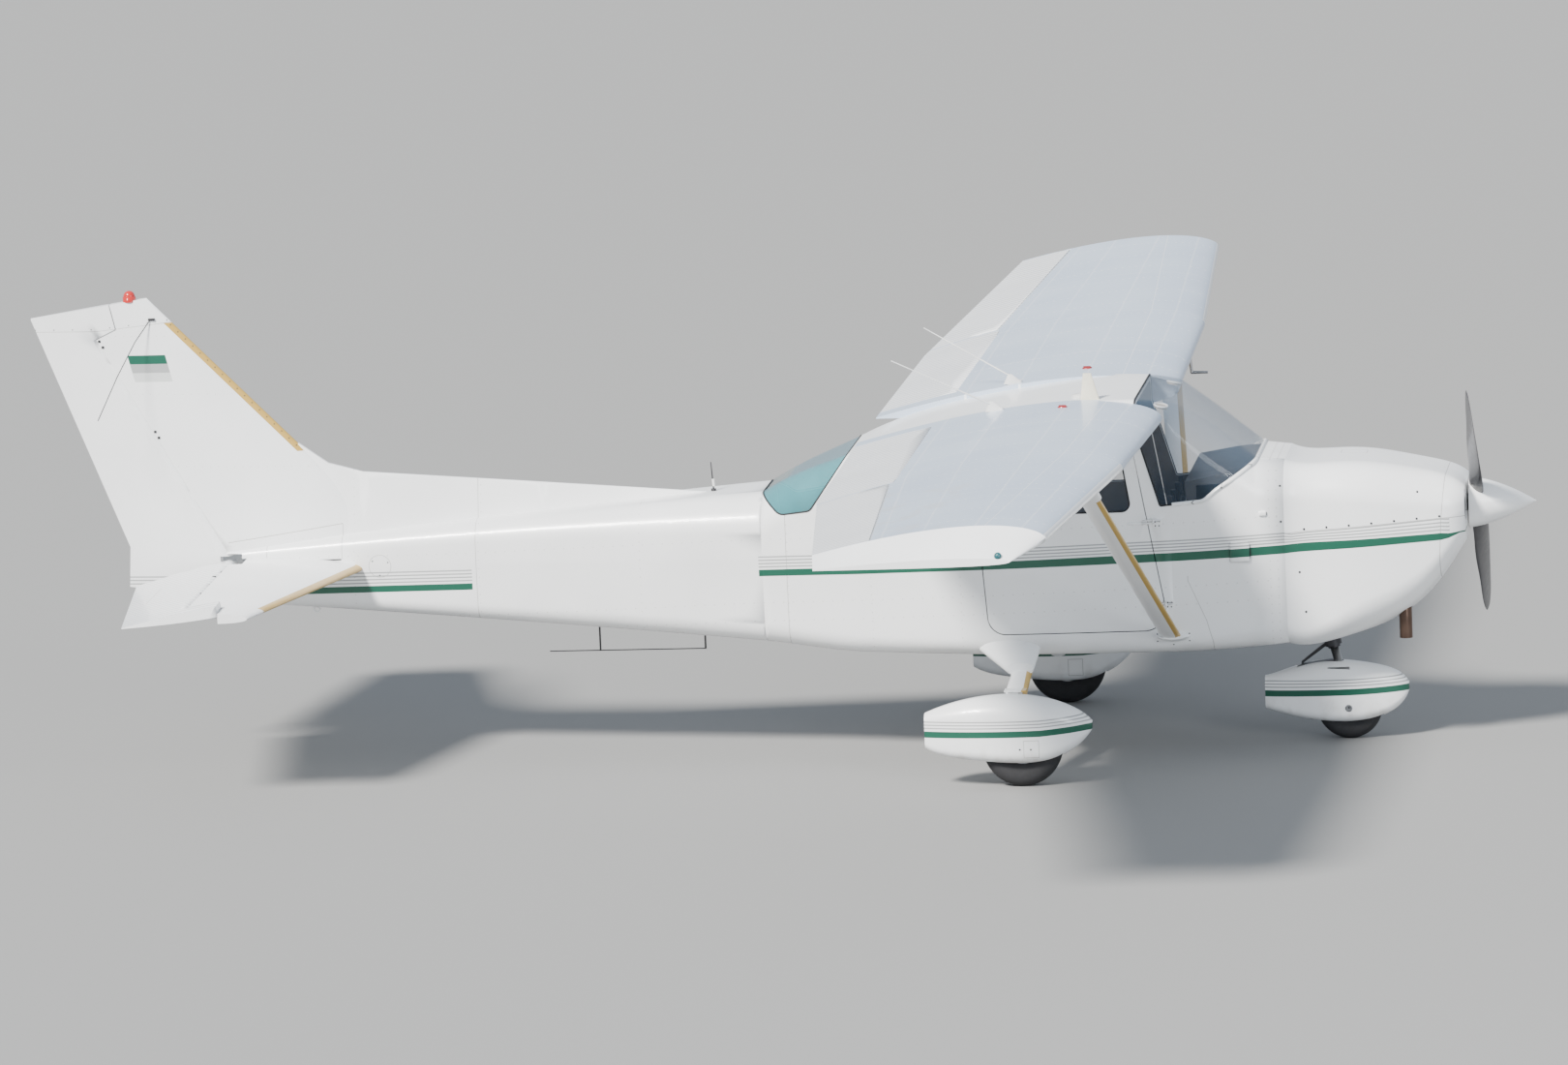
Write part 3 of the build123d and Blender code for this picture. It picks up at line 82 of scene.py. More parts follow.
lowCorner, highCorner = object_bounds()
halfLength = highCorner.x
print("frame loaded:", len(frame["nodes"]), "nodes, half length", round(halfLength, 3))


# A station is the distance aft of the spinner's tip, in metres.
def at(station, y, z):
    return Vector((halfLength - station, y, z))


# Camera: the photograph's angle, far off with a long lens

cameraSettings = {
    "place": (3.2993, -58.0292, 10.5683),  # x is counted from the spinner's tip
    "azimuth": -7.27,
    "elevation": 9.11,
    "roll": -2.31,
    "focalPixels": 11231.4,
    "imageWidth": 1620,
    "sensor": 36.0,
    "clipEnd": 500,
}


def addCamera(settings):
    azimuth, elevation, roll = [math.radians(settings[key]) for key in ("azimuth", "elevation", "roll")]
    level = math.cos(elevation)
    ahead = Vector((math.sin(azimuth) * level, math.cos(azimuth) * level, -math.sin(elevation)))
    aside = ahead.cross(Vector((0, 0, 1))).normalized()
    upright = aside.cross(ahead)
    right = aside * math.cos(roll) + upright * math.sin(roll)
    up = upright * math.cos(roll) - aside * math.sin(roll)
    data = bpy.data.cameras.new("photoCamera")
    data.sensor_width = settings["sensor"]
    data.lens = settings["focalPixels"] / settings["imageWidth"] * settings["sensor"]
    data.clip_end = settings["clipEnd"]
    camera = bpy.data.objects.new("photoCamera", data)
    bpy.context.scene.collection.objects.link(camera)
    turn = Matrix((right, up, -ahead)).transposed().to_4x4()
    x, y, z = settings["place"]
    camera.matrix_world = Matrix.Translation((x + halfLength, y, z)) @ turn
    bpy.context.scene.camera = camera


# Studio: a pale floor, a pale world, a wide soft key light and a fill lamp

studioSettings = {
    "floorSize": 900,
    "floorColour": (0.27, 0.27, 0.265, 1),
    "floorRoughness": 0.85,
    "worldColour": (0.78, 0.87, 1.0, 1),
    "worldStrength": 0.76,
    "keyFrom": (-11, -16, 19.3),
    "keyWidth": 11,
    "keyStrength": 9.0,
    "keyColour": (1.0, 0.97, 0.93),
    "fill": ((16, -20, 9), 9, 2200, (0.92, 0.96, 1.0)),  # place, size, watts, colour
    "aim": (0, 0, 1),
}


def addStudio(settings):
    mesh = bmesh.new()
    bmesh.ops.create_grid(mesh, x_segments=1, y_segments=1, size=settings["floorSize"] / 2)
    data = bpy.data.meshes.new("studioFloor")
    mesh.to_mesh(data)
    mesh.free()
    floor = bpy.data.objects.new("studioFloor", data)
    bpy.context.scene.collection.objects.link(floor)
    matt = Paint("studioFloor")
    matt.set("Base Color", settings["floorColour"])
    matt.set("Roughness", settings["floorRoughness"])
    data.materials.append(matt.material)
    floor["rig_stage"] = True
    world = bpy.data.worlds.new("studioWorld")
    world.use_nodes = True
    background = world.node_tree.nodes["Background"]
    background.inputs["Color"].default_value = settings["worldColour"]
    background.inputs["Strength"].default_value = settings["worldStrength"]
    bpy.context.scene.world = world
    key = bpy.data.lights.new("keyLight", "SUN")
    key.angle = math.radians(settings["keyWidth"])
    key.energy = settings["keyStrength"]
    key.color = settings["keyColour"]
    place, size, watts, colour = settings["fill"]
    fill = bpy.data.lights.new("fillLamp", "AREA")
    fill.shape = "DISK"
    fill.size = size
    fill.energy = watts
    fill.color = colour
    for light, source in ((key, Vector(settings["keyFrom"])), (fill, Vector(place))):
        lamp = bpy.data.objects.new(light.name, light)
        lamp.location = source
        lamp.rotation_mode = "QUATERNION"
        lamp.rotation_quaternion = (Vector(settings["aim"]) - source).to_track_quat("-Z", "Y")
        bpy.context.scene.collection.objects.link(lamp)


# Shader maths: a Field is one number over the surface, and Paint holds one material

edgeSoftness = 0.001  # metres over which a painted edge fades


class Field:
    def __init__(self, paint, socket):
        self.paint = paint
        self.socket = socket

    def __add__(self, other):
        return self.paint.maths("ADD", self, other)

    def __radd__(self, other):
        return self.paint.maths("ADD", other, self)

    def __sub__(self, other):
        return self.paint.maths("SUBTRACT", self, other)

    def __rsub__(self, other):
        return self.paint.maths("SUBTRACT", other, self)

    def __mul__(self, other):
        return self.paint.maths("MULTIPLY", self, other)

    def __rmul__(self, other):
        return self.paint.maths("MULTIPLY", other, self)

    def __truediv__(self, other):
        return self.paint.maths("DIVIDE", self, other)

    def __abs__(self):
        return self.paint.maths("ABSOLUTE", self)


class Paint:
    def __init__(self, name):
        self.material = bpy.data.materials.new(name)
        self.material.use_nodes = True
        self.tree = self.material.node_tree
        self.shader = self.tree.nodes["Principled BSDF"]
        self.height = None

    def node(self, kind, settings=None, inputs=None):
        made = self.tree.nodes.new(kind)
        for key, value in (settings or {}).items():
            setattr(made, key, value)
        for key, value in (inputs or {}).items():
            source = value.socket if isinstance(value, Field) else value
            if isinstance(source, bpy.types.NodeSocket):
                self.tree.links.new(source, made.inputs[key])
            else:
                made.inputs[key].default_value = source
        return made

    def maths(self, operation, *terms):
        made = self.node("ShaderNodeMath", {"operation": operation}, dict(enumerate(terms)))
        return Field(self, made.outputs[0])

    def place(self):
        if not hasattr(self, "placeSocket"):
            self.placeSocket = self.node("ShaderNodeTexCoord").outputs["Object"]
            parts = self.node("ShaderNodeSeparateXYZ", inputs={0: self.placeSocket})
            self.x, self.y, self.z = [Field(self, socket) for socket in parts.outputs]
            self.station = halfLength - self.x
        return self.placeSocket

    def set(self, name, value):
        self.shader.inputs[name].default_value = value

    def wire(self, name, value):
        source = value.socket if isinstance(value, Field) else value
        self.tree.links.new(source, self.shader.inputs[name])

    def ramp(self, value, low, high):
        inputs = {0: value, 1: low, 2: high, 3: 0.0, 4: 1.0}
        made = self.node("ShaderNodeMapRange", {"interpolation_type": "SMOOTHSTEP"}, inputs)
        return Field(self, made.outputs[0])

    def after(self, value, edge):  # 0 before an edge and 1 past it
        return self.ramp(value, edge, edge + edgeSoftness)

    def within(self, value, centre, half, soft=0.0008):
        return 1.0 - self.ramp(abs(value - centre), half - soft, half + soft)

    def wrap(self, value, pitch):  # the distance to the nearest multiple of the pitch
        return (self.maths("FRACT", value / pitch + 0.5) - 0.5) * pitch

    def course(self, value, rows):  # straight pieces from point to point, level past the ends
        total = rows[0][1]
        for (start, first), (end, last) in zip(rows, rows[1:]):
            inputs = {0: value, 1: start, 2: end, 3: 0.0, 4: last - first}
            made = self.node("ShaderNodeMapRange", inputs=inputs)
            total = Field(self, made.outputs[0]) + total
        return total

    def span(self, value, low, high):  # 1 between two values, with sharp ends
        return self.after(value, low) * (1.0 - self.after(value, high))

    def frameLine(self, first, second, halfSize, half):  # a thin line round a rectangle
        reach = self.maths("MAXIMUM", abs(first) - halfSize[0], abs(second) - halfSize[1])
        return self.within(reach, 0.0, half)

    def ringLine(self, first, second, radius, half):
        reach = self.maths("SQRT", first * first + second * second)
        return self.within(reach, radius, half)

    def noise(self, scale, detail=3.0, stretch=None):
        source = self.place()
        if stretch:
            source = self.node(
                "ShaderNodeVectorMath", {"operation": "MULTIPLY"}, {0: source, 1: stretch}).outputs[0]
        made = self.node("ShaderNodeTexNoise", inputs={"Vector": source, "Scale": scale, "Detail": detail})
        return Field(self, made.outputs[0])

    def cloud(self, scale, low=0.35, high=0.7, detail=5.0, stretch=None):
        return self.ramp(self.noise(scale, detail, stretch), low, high)

    def mix(self, factor, first, second):
        made = self.node("ShaderNodeMix", {"data_type": "RGBA"}, {0: factor, 6: first, 7: second})
        return made.outputs[2]

    def over(self, mask, colour):
        self.colour = self.mix(mask, self.colour, colour)

    def raise_(self, mask, amount):
        lifted = mask * amount
        self.height = lifted if self.height is None else self.height + lifted

    def dots(self, along, across, pitch, radius):
        near = self.wrap(along, pitch)
        reach = self.maths("SQRT", near * near + across * across)
        return 1.0 - self.ramp(reach, radius * 0.5, radius)

    def finish(self, bumpStrength=0.6):
        self.wire("Base Color", self.colour)
        if self.height is not None:
            bump = self.node(
                "ShaderNodeBump", inputs={"Height": self.height, "Distance": 1.0, "Strength": bumpStrength})
            self.wire("Normal", bump.outputs[0])
        return self.material


# Finishes

finishColours = {
    "white": (0.90, 0.91, 0.91, 1),
    "whiteShade": (0.85, 0.86, 0.86, 1),
    # wing and wingShade: the white paint made darker and bluer, a painted reflection of the sky
    "wing": (0.56, 0.65, 0.77, 1),
    "wingShade": (0.51, 0.60, 0.73, 1),
    # near-white for the wing's rivet rows and seam lines: painted highlights
    "wingHighlight": (0.93, 0.95, 0.97, 1),
    "wingWorn": (0.55, 0.58, 0.60, 1),
    "green": (0.004, 0.085, 0.050, 1),
    "stripeGrey": (0.36, 0.37, 0.37, 1),
    "seam": (0.30, 0.29, 0.27, 1),
    # near-black for screw heads, and for the painted shade in the gap under the fin's root strip
    "gap": (0.035, 0.035, 0.035, 1),
    "rivet": (0.60, 0.60, 0.59, 1),
    # a dark brown mixed in towards the bottom of the body and, as painted shade, of the wheel fairings
    "darkeningBrown": (0.33, 0.29, 0.23, 1),
    "ridgeShade": (0.42, 0.45, 0.50, 1),
    "tape": (0.50, 0.32, 0.07, 1),
    "black": (0.018, 0.018, 0.020, 1),
}
lineHalf = {
    # half the width of each kind of drawn line
    "seam": 0.0014,
    "cowlSeam": 0.0016,
    "hatch": 0.0013,
    "cap": 0.0022,
    "lap": 0.0018,
    # the painted shade in the gap under the fin's root strip
    "gap": 0.0045,
    "stripe": 0.0038,
}

glossSettings = {
    "cloudScale": 1.7,
    "sheenScale": 38.0,
    "sheenSpread": 0.16,
    "smoothest": 0.24,
    "coat": 0.25,
    "coatRoughness": 0.06,
    "waveScale": 5.0,
    "waveHeight": 0.0006,
    "rivetRise": 0.0006,
    "seamDepth": 0.0012,
}


def glossPaint(name, colour=finishColours["white"], shade=finishColours["whiteShade"]):
    settings = glossSettings
    paint = Paint(name)
    paint.place()
    paint.colour = paint.mix(paint.cloud(settings["cloudScale"]), colour, shade)
    sheen = paint.noise(settings["sheenScale"]) * settings["sheenSpread"]
    paint.wire("Roughness", sheen + settings["smoothest"])
    paint.set("Coat Weight", settings["coat"])
    paint.set("Coat Roughness", settings["coatRoughness"])
    paint.raise_(paint.noise(settings["waveScale"], 2.0), settings["waveHeight"])
    return paint


def addRivets(paint, mask, colour=finishColours["rivet"], share=0.6):
    paint.over(mask * share, colour)
    paint.raise_(mask, glossSettings["rivetRise"])


def addSeam(paint, mask, colour=finishColours["seam"], share=0.8):
    paint.over(mask * share, colour)
    paint.raise_(mask, -glossSettings["seamDepth"])


def addScrews(paint, mask, share=0.85):
    paint.over(mask * share, finishColours["gap"])


bodyPattern = {
    # station and height of the green band's middle, then its half width, then the grey lines' pitch
    "middle": [
        (0.40, 1.170), (0.46, 1.156), (1.34, 1.117), (1.736, 1.1035),
        (4.196, 1.030), (5.83, 0.956), (6.9, 0.930)],
    "half": [(0.40, 0.004), (0.50, 0.019), (1.20, 0.024), (2.0, 0.023), (4.2, 0.018), (6.9, 0.018)],
    "pitch": [(0.45, 0.0205), (1.30, 0.0135), (1.34, 0.0165), (4.2, 0.0182), (6.9, 0.0190)],
    "greyLines": 4,
    "greyOffset": 0.85,  # pitches from the band's edge to the first grey line
    "start": 0.452,
    "bare": (4.20, 5.80),
    "end": 6.85,
    "frames": [1.375, 1.415, 3.09, 3.58, 4.04, 4.86, 5.76, 6.46, 6.94],
    "seams": [4.045, 5.775, 6.95],
    "cowlSeam": [(0.492, 1.255), (1.335, 1.200)],
    "sideSeam": [(0.54, 1.733), (0.625, 1.735), (0.747, 1.767), (0.966, 1.859)],  # height, then station
    "sideSeamSpan": (0.50, 0.99),
    "bowlSeam": [(1.026, 0.510), (1.236, 0.498), (1.480, 0.474)],  # height, then station
    "oilDoor": (0.985, 0.10, (0.070, 0.050)),  # middle's station and y, then half sizes
    "oilDoorAbove": 1.44,
    "ring": (6.315, 1.070, 0.062),
    "rows": [0.185, -0.165, -0.265],  # rivet rows above the band's middle
    "rowPitch": 0.055,
    "rivetPitch": 0.048,
    "rivetRadius": 0.0050,
    "rivetsFrom": 1.36,
    "darkeningHeight": (0.58, 0.80),
    "darkeningShare": 0.35,
}
# The strip between fin and stabilizer: a seam above it, one before it and, below it, painted shade in the gap
# where the stabilizer meets
rootPattern = {
    "cap": [(6.526, 1.296), (7.167, 1.199)],
    "gap": [(6.530, 1.108), (7.150, 1.092)],
}


def addRootLines(paint):
    (capStart, capHeight), (capEnd, capFoot) = rootPattern["cap"]
    (gapStart, gapHeight), (gapEnd, gapFoot) = rootPattern["gap"]
    above = paint.within(paint.z, paint.course(paint.station, rootPattern["cap"]), lineHalf["cap"])
    addSeam(paint, above * paint.span(paint.station, capStart, capEnd))
    before = paint.within(paint.station, capStart, lineHalf["seam"])
    addSeam(paint, before * paint.span(paint.z, gapHeight, capHeight))
    # The gap under the strip is darkened near-black: painted shade
    gap = paint.within(paint.z, paint.course(paint.station, rootPattern["gap"]), lineHalf["gap"])
    paint.over(gap * paint.span(paint.station, gapStart, gapEnd), finishColours["gap"])


def addBodySeams(paint, pattern):
    station, height = paint.station, paint.z
    parting = paint.within(height, paint.course(station, pattern["cowlSeam"]), lineHalf["cowlSeam"])
    addSeam(paint, parting * (1.0 - paint.after(station, pattern["cowlSeam"][-1][0])))
    side = paint.within(station, paint.course(height, pattern["sideSeam"]), lineHalf["seam"])
    addSeam(paint, side * paint.span(height, *pattern["sideSeamSpan"]))
    doorStation, doorY, doorHalves = pattern["oilDoor"]
    oilDoor = paint.frameLine(station - doorStation, paint.y - doorY, doorHalves, lineHalf["hatch"])
    addSeam(paint, oilDoor * paint.after(height, pattern["oilDoorAbove"]))
    ringStation, ringHeight, ringRadius = pattern["ring"]
    addSeam(paint, paint.ringLine(station - ringStation, height - ringHeight, ringRadius, lineHalf["hatch"]))
    addRootLines(paint)
    addSeam(paint, paint.within(station, paint.course(height, pattern["bowlSeam"]), lineHalf["cowlSeam"]))
    for spot in pattern["seams"]:
        addSeam(paint, paint.within(station, spot, lineHalf["seam"]))


def bodyPaint():
    paint = glossPaint("bodyPaint")
    pattern = bodyPattern
    station, height = paint.station, paint.z
    above = height - paint.course(station, pattern["middle"])
    half = paint.course(station, pattern["half"])
    pitch = paint.course(station, pattern["pitch"])
    addBodySeams(paint, pattern)
    rivets = 0.0
    for spot in pattern["frames"]:
        rivets = rivets + paint.dots(height, station - spot, pattern["rivetPitch"], pattern["rivetRadius"])
    for offset in pattern["rows"]:
        rivets = rivets + paint.dots(station, above - offset, pattern["rowPitch"], pattern["rivetRadius"])
    addRivets(paint, rivets * paint.after(station, pattern["rivetsFrom"]))
    # Darker and browner towards the bottom, in mottled streaks
    darkening = paint.cloud(2.2, 0.45, 0.75, 6.0, (0.35, 1.0, 1.6))
    lowDown = 1.0 - paint.ramp(height, *pattern["darkeningHeight"])
    paint.over(darkening * lowDown * pattern["darkeningShare"], finishColours["darkeningBrown"])
    lines = 0.0
    for number in range(pattern["greyLines"]):
        offset = half + pitch * (number + pattern["greyOffset"])
        lines = lines + paint.within(above, offset, lineHalf["stripe"])
    shown = (1.0 - paint.span(station, *pattern["bare"])) * (1.0 - paint.after(station, pattern["end"]))
    paint.over(lines * shown * paint.after(station, pattern["start"]), finishColours["stripeGrey"])
    paint.over(paint.within(above, 0.0, half) * shown, finishColours["green"])
    return paint.finish()


wingPattern = {
    # y, then the leading edge's station and the chord, in metres
    "edge": [(0.44, 1.966), (2.60, 1.992), (5.30, 2.128)],
    "chord": [(0.44, 1.664), (2.60, 1.608), (5.30, 1.166)],
    "spars": [0.10, 0.30, 0.52, 0.70],
    "ribPitch": 0.42,
    "rivetPitch": 0.040,
    "rivetRadius": 0.0085,
    "rivetHighlightShare": 0.9,
    "panelSeams": [1.28, 2.62, 3.95],
    "lapSeam": 0.300,  # metres behind the leading edge
    "edgeStrip": 0.012,
    "edgeSpan": (2.60, 5.30),
    "worn": ((-4.2, 1.2, 0.35), (0.60, 0.16, 0.05)),  # middle, half and softness: y, then chord share
    "wornShare": 0.5,
}


def wingPaint():
    # The base colour is the white paint made darker and bluer: a painted reflection of the sky
    paint = glossPaint("wingPaint", finishColours["wing"], finishColours["wingShade"])
    pattern = wingPattern
    span = abs(paint.y)
    chord = paint.course(span, pattern["chord"])
    behind = paint.station - paint.course(span, pattern["edge"])
    fraction = behind / chord
    pitch, radius = pattern["rivetPitch"], pattern["rivetRadius"]
    rivets = paint.dots(paint.station, paint.wrap(span, pattern["ribPitch"]), pitch, radius)
    for spar in pattern["spars"]:
        rivets = rivets + paint.dots(span, (fraction - spar) * chord, pitch, radius)
    # Rivet rows, panel seams and the lap seam are drawn near-white: painted highlights
    addRivets(paint, rivets, finishColours["wingHighlight"], pattern["rivetHighlightShare"])
    for seam in pattern["panelSeams"]:
        addSeam(paint, paint.within(span, seam, lineHalf["cap"]), finishColours["wingHighlight"])
    addSeam(paint, paint.within(behind, pattern["lapSeam"], lineHalf["lap"]), finishColours["wingHighlight"])
    edge = 1.0 - paint.after(behind, pattern["edgeStrip"])
    paint.over(edge * paint.span(span, *pattern["edgeSpan"]), finishColours["white"])
    acrossWorn, alongWorn = pattern["worn"]
    patch = paint.within(paint.y, *acrossWorn) * paint.within(fraction, *alongWorn)
    worn = paint.cloud(4.5, 0.52, 0.60, 7.0, (1.0, 0.45, 1.0))
    paint.over(worn * patch * pattern["wornShare"], finishColours["wingWorn"])
    return paint.finish()


corrugation = {"ridgeShare": 0.20, "depth": 0.005, "shadeShare": 0.75, "bump": 1.0}
tabPattern = {"station": 7.455, "y": -0.80, "half": 0.24}


def corrugatedPaint(name, pitch, tab=None):
    paint = glossPaint(name)
    ridge = paint.ramp(abs(paint.wrap(paint.y, pitch)), 0.0, pitch * corrugation["ridgeShare"])
    paint.raise_(ridge, corrugation["depth"])
    # The valleys between the ridges are darkened bluish grey: painted shade
    paint.over((1.0 - ridge) * corrugation["shadeShare"], finishColours["ridgeShade"])
    if tab:
        line = paint.within(paint.station, tab["station"], lineHalf["cowlSeam"])
        addSeam(paint, line * paint.within(paint.y, tab["y"], tab["half"]))
    return paint.finish(corrugation["bump"])


finTape = {"start": (6.721, 1.697), "end": (7.430, 2.420), "width": 0.030, "from": 6.68}
tapeScrews = {"share": 0.4, "pitch": 0.056, "radius": 0.005}
finRivets = {
    "heights": (1.22, 1.62, 2.02, 2.34),
    "pivot": 7.0,
    "slope": 0.02,
    "pitch": 0.045,
    "radius": 0.0038,
    "from": 6.6,
}
capSeam = [(7.43, 2.425), (7.85, 2.381)]
capScrews = {"rise": 0.012, "pitch": 0.105, "radius": 0.005}
patchPattern = {
    # a plain patch of three bands
    "station": 7.575,
    "half": 0.105,
    "lean": 0.25,
    "top": 2.246,
    "band": 0.049,
    "colours": [(0.006, 0.09, 0.055, 1), (0.36, 0.37, 0.37, 1), (0.62, 0.64, 0.63, 1)],
}


def finPaint():
    paint = glossPaint("finPaint")
    (startStation, startHeight), (endStation, endHeight) = finTape["start"], finTape["end"]
    run, rise = endStation - startStation, endHeight - startHeight
    size = math.hypot(run, rise)
    acrossRun, acrossRise = run / size, rise / size
    behind, up = paint.station - startStation, paint.z - startHeight
    aside = behind * acrossRise - up * acrossRun
    along = behind * acrossRun + up * acrossRise
    rivets = 0.0
    for height in finRivets["heights"]:
        level = (paint.z - height) - (paint.station - finRivets["pivot"]) * finRivets["slope"]
        rivets = rivets + paint.dots(paint.station, level, finRivets["pitch"], finRivets["radius"])
    addRivets(paint, rivets * paint.after(paint.station, finRivets["from"]))
    tape = (1.0 - paint.after(aside, finTape["width"])) * paint.span(paint.z, startHeight, endHeight)
    tape = tape * paint.after(paint.station, finTape["from"])
    paint.over(tape, finishColours["tape"])
    screwLine = aside - finTape["width"] * tapeScrews["share"]
    addScrews(paint, paint.dots(along, screwLine, tapeScrews["pitch"], tapeScrews["radius"]) * tape)
    addCapSeam(paint)
    addPatch(paint)
    addRootLines(paint)
    return paint.finish()


def addCapSeam(paint):
    above = paint.z - paint.course(paint.station, capSeam)
    addSeam(paint, paint.within(above, 0.0, lineHalf["seam"]))
    screwLine = above - capScrews["rise"]
    addScrews(paint, paint.dots(paint.station, screwLine, capScrews["pitch"], capScrews["radius"]))


def addPatch(paint):
    pattern = patchPattern
    aside = paint.station - pattern["station"] - (paint.z - pattern["top"]) * pattern["lean"]
    across = paint.within(aside, 0.0, pattern["half"])
    for number, colour in enumerate(pattern["colours"]):
        middle = pattern["top"] - (number + 0.5) * pattern["band"]
        paint.over(paint.within(paint.z, middle, pattern["band"] / 2) * across, colour)


rudderLines = {"count": 3, "low": 0.975, "pitch": 0.019}


def rudderPaint():
    paint = glossPaint("rudderPaint")
    lines = 0.0
    for number in range(rudderLines["count"]):
        height = rudderLines["low"] + number * rudderLines["pitch"]
        lines = lines + paint.within(paint.z, height, lineHalf["stripe"])
    addCapSeam(paint)
    paint.over(lines, finishColours["stripeGrey"])
    return paint.finish()


# y and station of the leading edge, the tape's width and end, and the rivets
tailPattern = {
    "edge": [(0.16, 6.418), (1.56, 6.745)],
    "tapeWidth": 0.034,
    "tapeEnd": 1.50,
    "ribPitch": 0.36,
    "sparAft": 0.28,
    "rivetPitch": 0.042,
    "rivetRadius": 0.0036,
}


def stabilizerPaint():
    paint = glossPaint("stabilizerPaint")
    pattern = tailPattern
    span = abs(paint.y)
    behind = paint.station - paint.course(span, pattern["edge"])
    pitch, radius = pattern["rivetPitch"], pattern["rivetRadius"]
    rivets = paint.dots(paint.station, paint.wrap(span, pattern["ribPitch"]), pitch, radius)
    rivets = rivets + paint.dots(span, behind - pattern["sparAft"], pitch, radius)
    addRivets(paint, rivets)
    tape = (1.0 - paint.after(behind, pattern["tapeWidth"])) * (1.0 - paint.after(span, pattern["tapeEnd"]))
    paint.over(tape, finishColours["tape"])
    return paint.finish()


pantPattern = {
    # station and height of the band's middle on each wheel fairing
    "main": [(2.36, 0.318), (2.60, 0.300), (3.22, 0.292)],
    "nose": [(0.74, 0.278), (1.0, 0.268), (1.5, 0.258)],
    "bandHalf": 0.017,
    "lines": 3,
    "lineRise": 0.034,
    "linePitch": 0.017,
    "lineHalf": 0.0034,
    "hatch": (2.647, 0.216, (0.040, 0.046)),  # the main ones' small door: middle, then half sizes
    "darkeningHeight": (0.12, 0.30),
    "darkeningShare": 0.4,
}


def pantPaint(name, rows, hatch=None):
    paint = glossPaint(name)
    pattern = pantPattern
    above = paint.z - paint.course(paint.station, rows)
    # The lower part is darkened brown and mottled: painted shade
    darkening = paint.cloud(9.0, 0.45, 0.75, 6.0) * (1.0 - paint.ramp(paint.z, *pattern["darkeningHeight"]))
    paint.over(darkening * pattern["darkeningShare"], finishColours["darkeningBrown"])
    if hatch:
        station, height, halves = hatch
        addSeam(paint, paint.frameLine(paint.station - station, paint.z - height, halves, lineHalf["hatch"]))
    lines = 0.0
    for number in range(pattern["lines"]):
        rise = pattern["lineRise"] + number * pattern["linePitch"]
        lines = lines + paint.within(above, rise, pattern["lineHalf"])
    paint.over(lines, finishColours["stripeGrey"])
    paint.over(paint.within(above, 0.0, pattern["bandHalf"]), finishColours["green"])
    return paint.finish()


# height and station of the line that the tape's width is counted from
legTapes = {
    "strut": ([(0.68, 1.964), (1.79, 2.197)], 0.030),
    "leg": ([(0.22, 2.708), (0.43, 2.768), (0.64, 2.758)], 0.034),
}


def legPaint(name, rows, width):
    paint = glossPaint(name)
    front = paint.course(paint.z, rows) - paint.station
    paint.over(paint.after(front, width), finishColours["tape"])
    return paint.finish()


plainSettings = {"cloudShare": 0.2, "roughSpread": 0.2, "reliefShare": 4, "relief": 0.0004}


def plainPaint(name, colour, roughness=0.4, metallic=0.0, grain=30.0, wear=0.15, coat=0.0):
    paint = Paint(name)
    paint.place()
    darker = tuple(c * (1 - wear) for c in colour[:3]) + (1,)
    paint.colour = paint.mix(paint.cloud(grain * plainSettings["cloudShare"]), colour, darker)
    spread = plainSettings["roughSpread"]
    paint.wire("Roughness", paint.noise(grain) * spread + (roughness - spread / 2))
    paint.set("Metallic", metallic)
    paint.set("Coat Weight", coat)
    paint.raise_(paint.noise(grain * plainSettings["reliefShare"]), plainSettings["relief"])
    return paint.finish()


# Seat cloth: a weave, and sewn channels that run fore and aft
clothSettings = {
    "cloudScale": 12.0,
    "lighter": 1.5,
    "seatMiddle": 0.26,
    "channels": [0.062, 0.0],  # metres to each side of a seat's middle
    "channelHalf": 0.003,
    "channelDepth": 0.004,
    "channelShare": 0.6,
    "roughScale": 240.0,
    "roughSpread": 0.2,
    "smoothest": 0.7,
    "sheen": 0.3,
    "weaveScale": 700.0,
    "weaveDepth": 0.0006,
}


def clothPaint(name, colour):
    settings = clothSettings
    paint = Paint(name)
    paint.place()
    lighter = tuple(c * settings["lighter"] for c in colour[:3]) + (1,)
    paint.colour = paint.mix(paint.cloud(settings["cloudScale"]), colour, lighter)
    across = abs(abs(paint.y) - settings["seatMiddle"])
    half = settings["channelHalf"]
    channel = 0.0
    for spot in settings["channels"]:
        channel = channel + paint.within(across, spot, half, half)
    paint.over(channel * settings["channelShare"], finishColours["black"])
    rough = paint.noise(settings["roughScale"]) * settings["roughSpread"]
    paint.wire("Roughness", rough + settings["smoothest"])
    paint.set("Sheen Weight", settings["sheen"])
    paint.raise_(channel, -settings["channelDepth"])
    paint.raise_(paint.noise(settings["weaveScale"], 2.0), settings["weaveDepth"])
    return paint.finish()


stripMarks = {"acrossShare": 0.9, "alongShare": 0.6, "pitch": 0.075}


def stripPaint(name):
    paint = glossPaint(name)
    along = paint.y * stripMarks["acrossShare"] + paint.station * stripMarks["alongShare"]
    addScrews(paint, paint.within(paint.wrap(along, stripMarks["pitch"]), 0.0, lineHalf["cap"]))
    return paint.finish()


glassSettings = {
    "hazeScale": 6.0,
    "lighter": 1.12,
    "roughSpread": 0.04,
    "smoothest": 0.02,
    "blend": 0.25,
    "edgeAlpha": 0.34,
}


